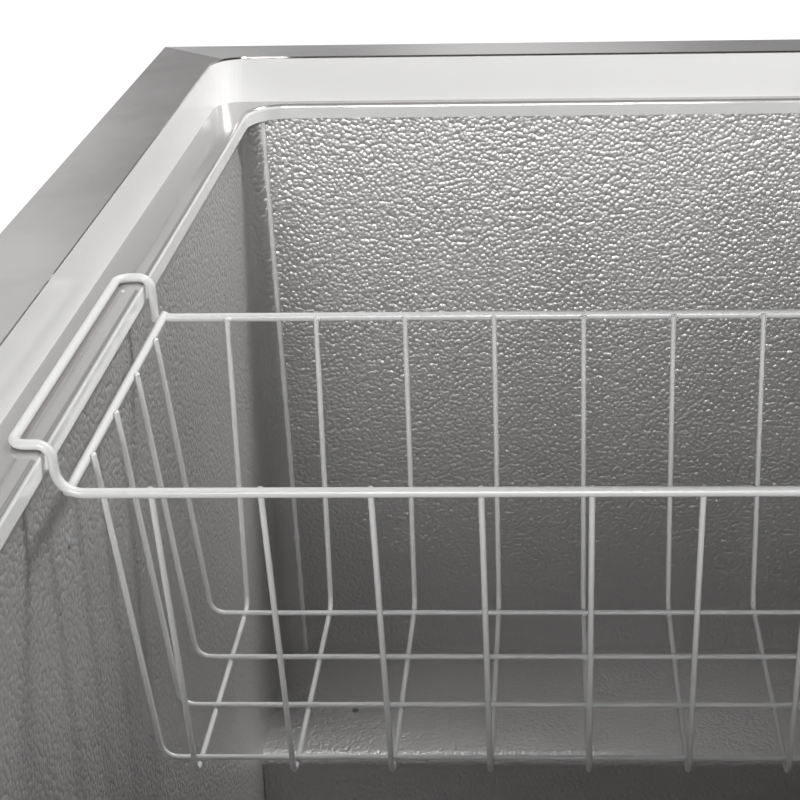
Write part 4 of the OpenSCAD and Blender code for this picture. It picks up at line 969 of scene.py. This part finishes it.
def build_world():
    """White to the camera, a patchy room in reflections, and a dim soft light for the rest."""
    world = bpy.data.worlds.new("studio")
    world.use_nodes = True
    tree = world.node_tree
    path = add(tree, "ShaderNodeLightPath").outputs
    way = add(tree, "ShaderNodeTexCoord").outputs["Generated"]
    toward = vector_of(tree, "DOT_PRODUCT", way, ROOM_LIGHT_SIDE, "Value")
    room = range_of(tree, toward, ROOM_SLOPE, ROOM_LEVELS)
    shifted = vector_of(tree, "ADD", way, PATCH_SHIFT)
    patches = noise_of(tree, shifted, PATCH_SCALE, PATCH_DETAIL, PATCH_ROUGH)
    patchy = math_of(tree, "MULTIPLY", room, range_of(tree, patches, PATCH_EDGES, PATCH_LEVELS))
    soft = math_of(tree, "MULTIPLY", room, DIFFUSE_SHARE)
    shown = switch_of(tree, path["Is Glossy Ray"], soft, patchy)
    sky = tree.nodes["Background"].inputs
    sky["Color"].default_value = (1.0, 1.0, 1.0, 1.0)
    tree.links.new(switch_of(tree, path["Is Camera Ray"], shown, 1.0), sky["Strength"])
    bpy.context.scene.world = world


def lamp(name, place, target, size, power):
    data = bpy.data.lights.new(name, "AREA")
    data.size = size
    data.energy = power
    made = bpy.data.objects.new(name, data)
    made.location = place
    made.rotation_euler = (Vector(target) - Vector(place)).to_track_quat("-Z", "Y").to_euler()
    bpy.context.collection.objects.link(made)


def build_lamps():
    """One lamp low beyond the near end, one high beyond the far back corner, one in front."""
    low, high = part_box("liner")
    far_wall = Vector((low.x, middle("liner").y, high.z - BELOW_WALL_TOP))
    level = math.cos(LOW_LAMP_RISE)
    along, aside = level * math.cos(LOW_LAMP_SWING), level * math.sin(LOW_LAMP_SWING)
    start = far_wall + Vector((along, aside, math.sin(LOW_LAMP_RISE))) * LOW_LAMP_AWAY
    lamp("low_lamp", start, far_wall, *LOW_LAMP)
    above = (-1.1, 1.15, 3.0)
    lamp("overhead_lamp", above, (-0.25, -0.3, 0.75), sizes().lamp_size, OVERHEAD_POWER)
    lamp("front_lamp", (1.4, -3.6, 0.7), (0.0, 0.3, 1.0), *FRONT_LAMP)


def build_camera():
    """Camera over the near end, looking down into the tank towards its far end."""
    camera = bpy.data.cameras.new("camera")
    camera.sensor_fit = "HORIZONTAL"
    camera.sensor_width = SENSOR_WIDTH
    camera.lens = CAMERA_LENS
    camera.shift_x = CAMERA_SHIFT
    (cp, sp), (cy, sy), (cr, sr) = ((math.cos(a), math.sin(a)) for a in (PITCH, YAW, ROLL))
    right = Vector((sy * cr - cy * sp * sr, cy * cr + sy * sp * sr, cp * sr))
    upward = Vector((-sy * sr - cy * sp * cr, sy * sp * cr - cy * sr, cp * cr))
    backward = Vector((cy * cp, -sy * cp, sp))
    turn = Matrix((right, upward, backward)).transposed()
    near_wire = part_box("basket_near_rim")[1].x - RIM_WIRE_RADIUS
    start = Vector((near_wire, middle("basket_cross_wires").y, middle("basket_far_rim").z))
    eye = bpy.data.objects.new("camera", camera)
    eye.matrix_world = Matrix.Translation(start + CAMERA_OFFSET) @ turn.to_4x4()
    bpy.context.collection.objects.link(eye)
    bpy.context.scene.camera = eye


class FREEZER_OT_stage(bpy.types.Operator):
    """Build the floor, the light and the camera"""

    bl_idname = "freezer.stage"
    bl_label = "Stage"

    def execute(self, context):
        build_floor()
        build_world()
        build_lamps()
        build_camera()
        context.scene.view_settings.view_transform = "Standard"
        return {"FINISHED"}


OPERATORS = (
    FREEZER_OT_stage,
    FREEZER_OT_cabinet,
    FREEZER_OT_tank,
    FREEZER_OT_basket,
    FREEZER_OT_lid,
    FREEZER_OT_hinges,
    FREEZER_OT_controls,
    FREEZER_OT_cooling,
)


class FREEZER_PT_sidebar(bpy.types.Panel):
    """Sizes, colours and steps of the freezer's finish"""

    bl_idname = "FREEZER_PT_sidebar"
    bl_label = "Chest Freezer"
    bl_space_type = "VIEW_3D"
    bl_region_type = "UI"
    bl_category = "Freezer"

    def draw(self, context):
        for group in (context.scene.freezer_sizes, context.scene.freezer_colours):
            box = self.layout.box()
            for name in group.__annotations__:
                box.prop(group, name)
        for operator in OPERATORS:
            self.layout.operator(operator.bl_idname)


CLASSES = (FreezerSizes, FreezerColours) + OPERATORS + (FREEZER_PT_sidebar,)


def register():
    for item in CLASSES:
        bpy.utils.register_class(item)
    bpy.types.Scene.freezer_sizes = PointerProperty(type=FreezerSizes)
    bpy.types.Scene.freezer_colours = PointerProperty(type=FreezerColours)


def unregister():
    del bpy.types.Scene.freezer_colours
    del bpy.types.Scene.freezer_sizes
    for item in reversed(CLASSES):
        bpy.utils.unregister_class(item)


def main():
    register()
    for operator in OPERATORS:
        group, name = operator.bl_idname.split(".")
        getattr(getattr(bpy.ops, group), name)()


if __name__ == "__main__":
    main()
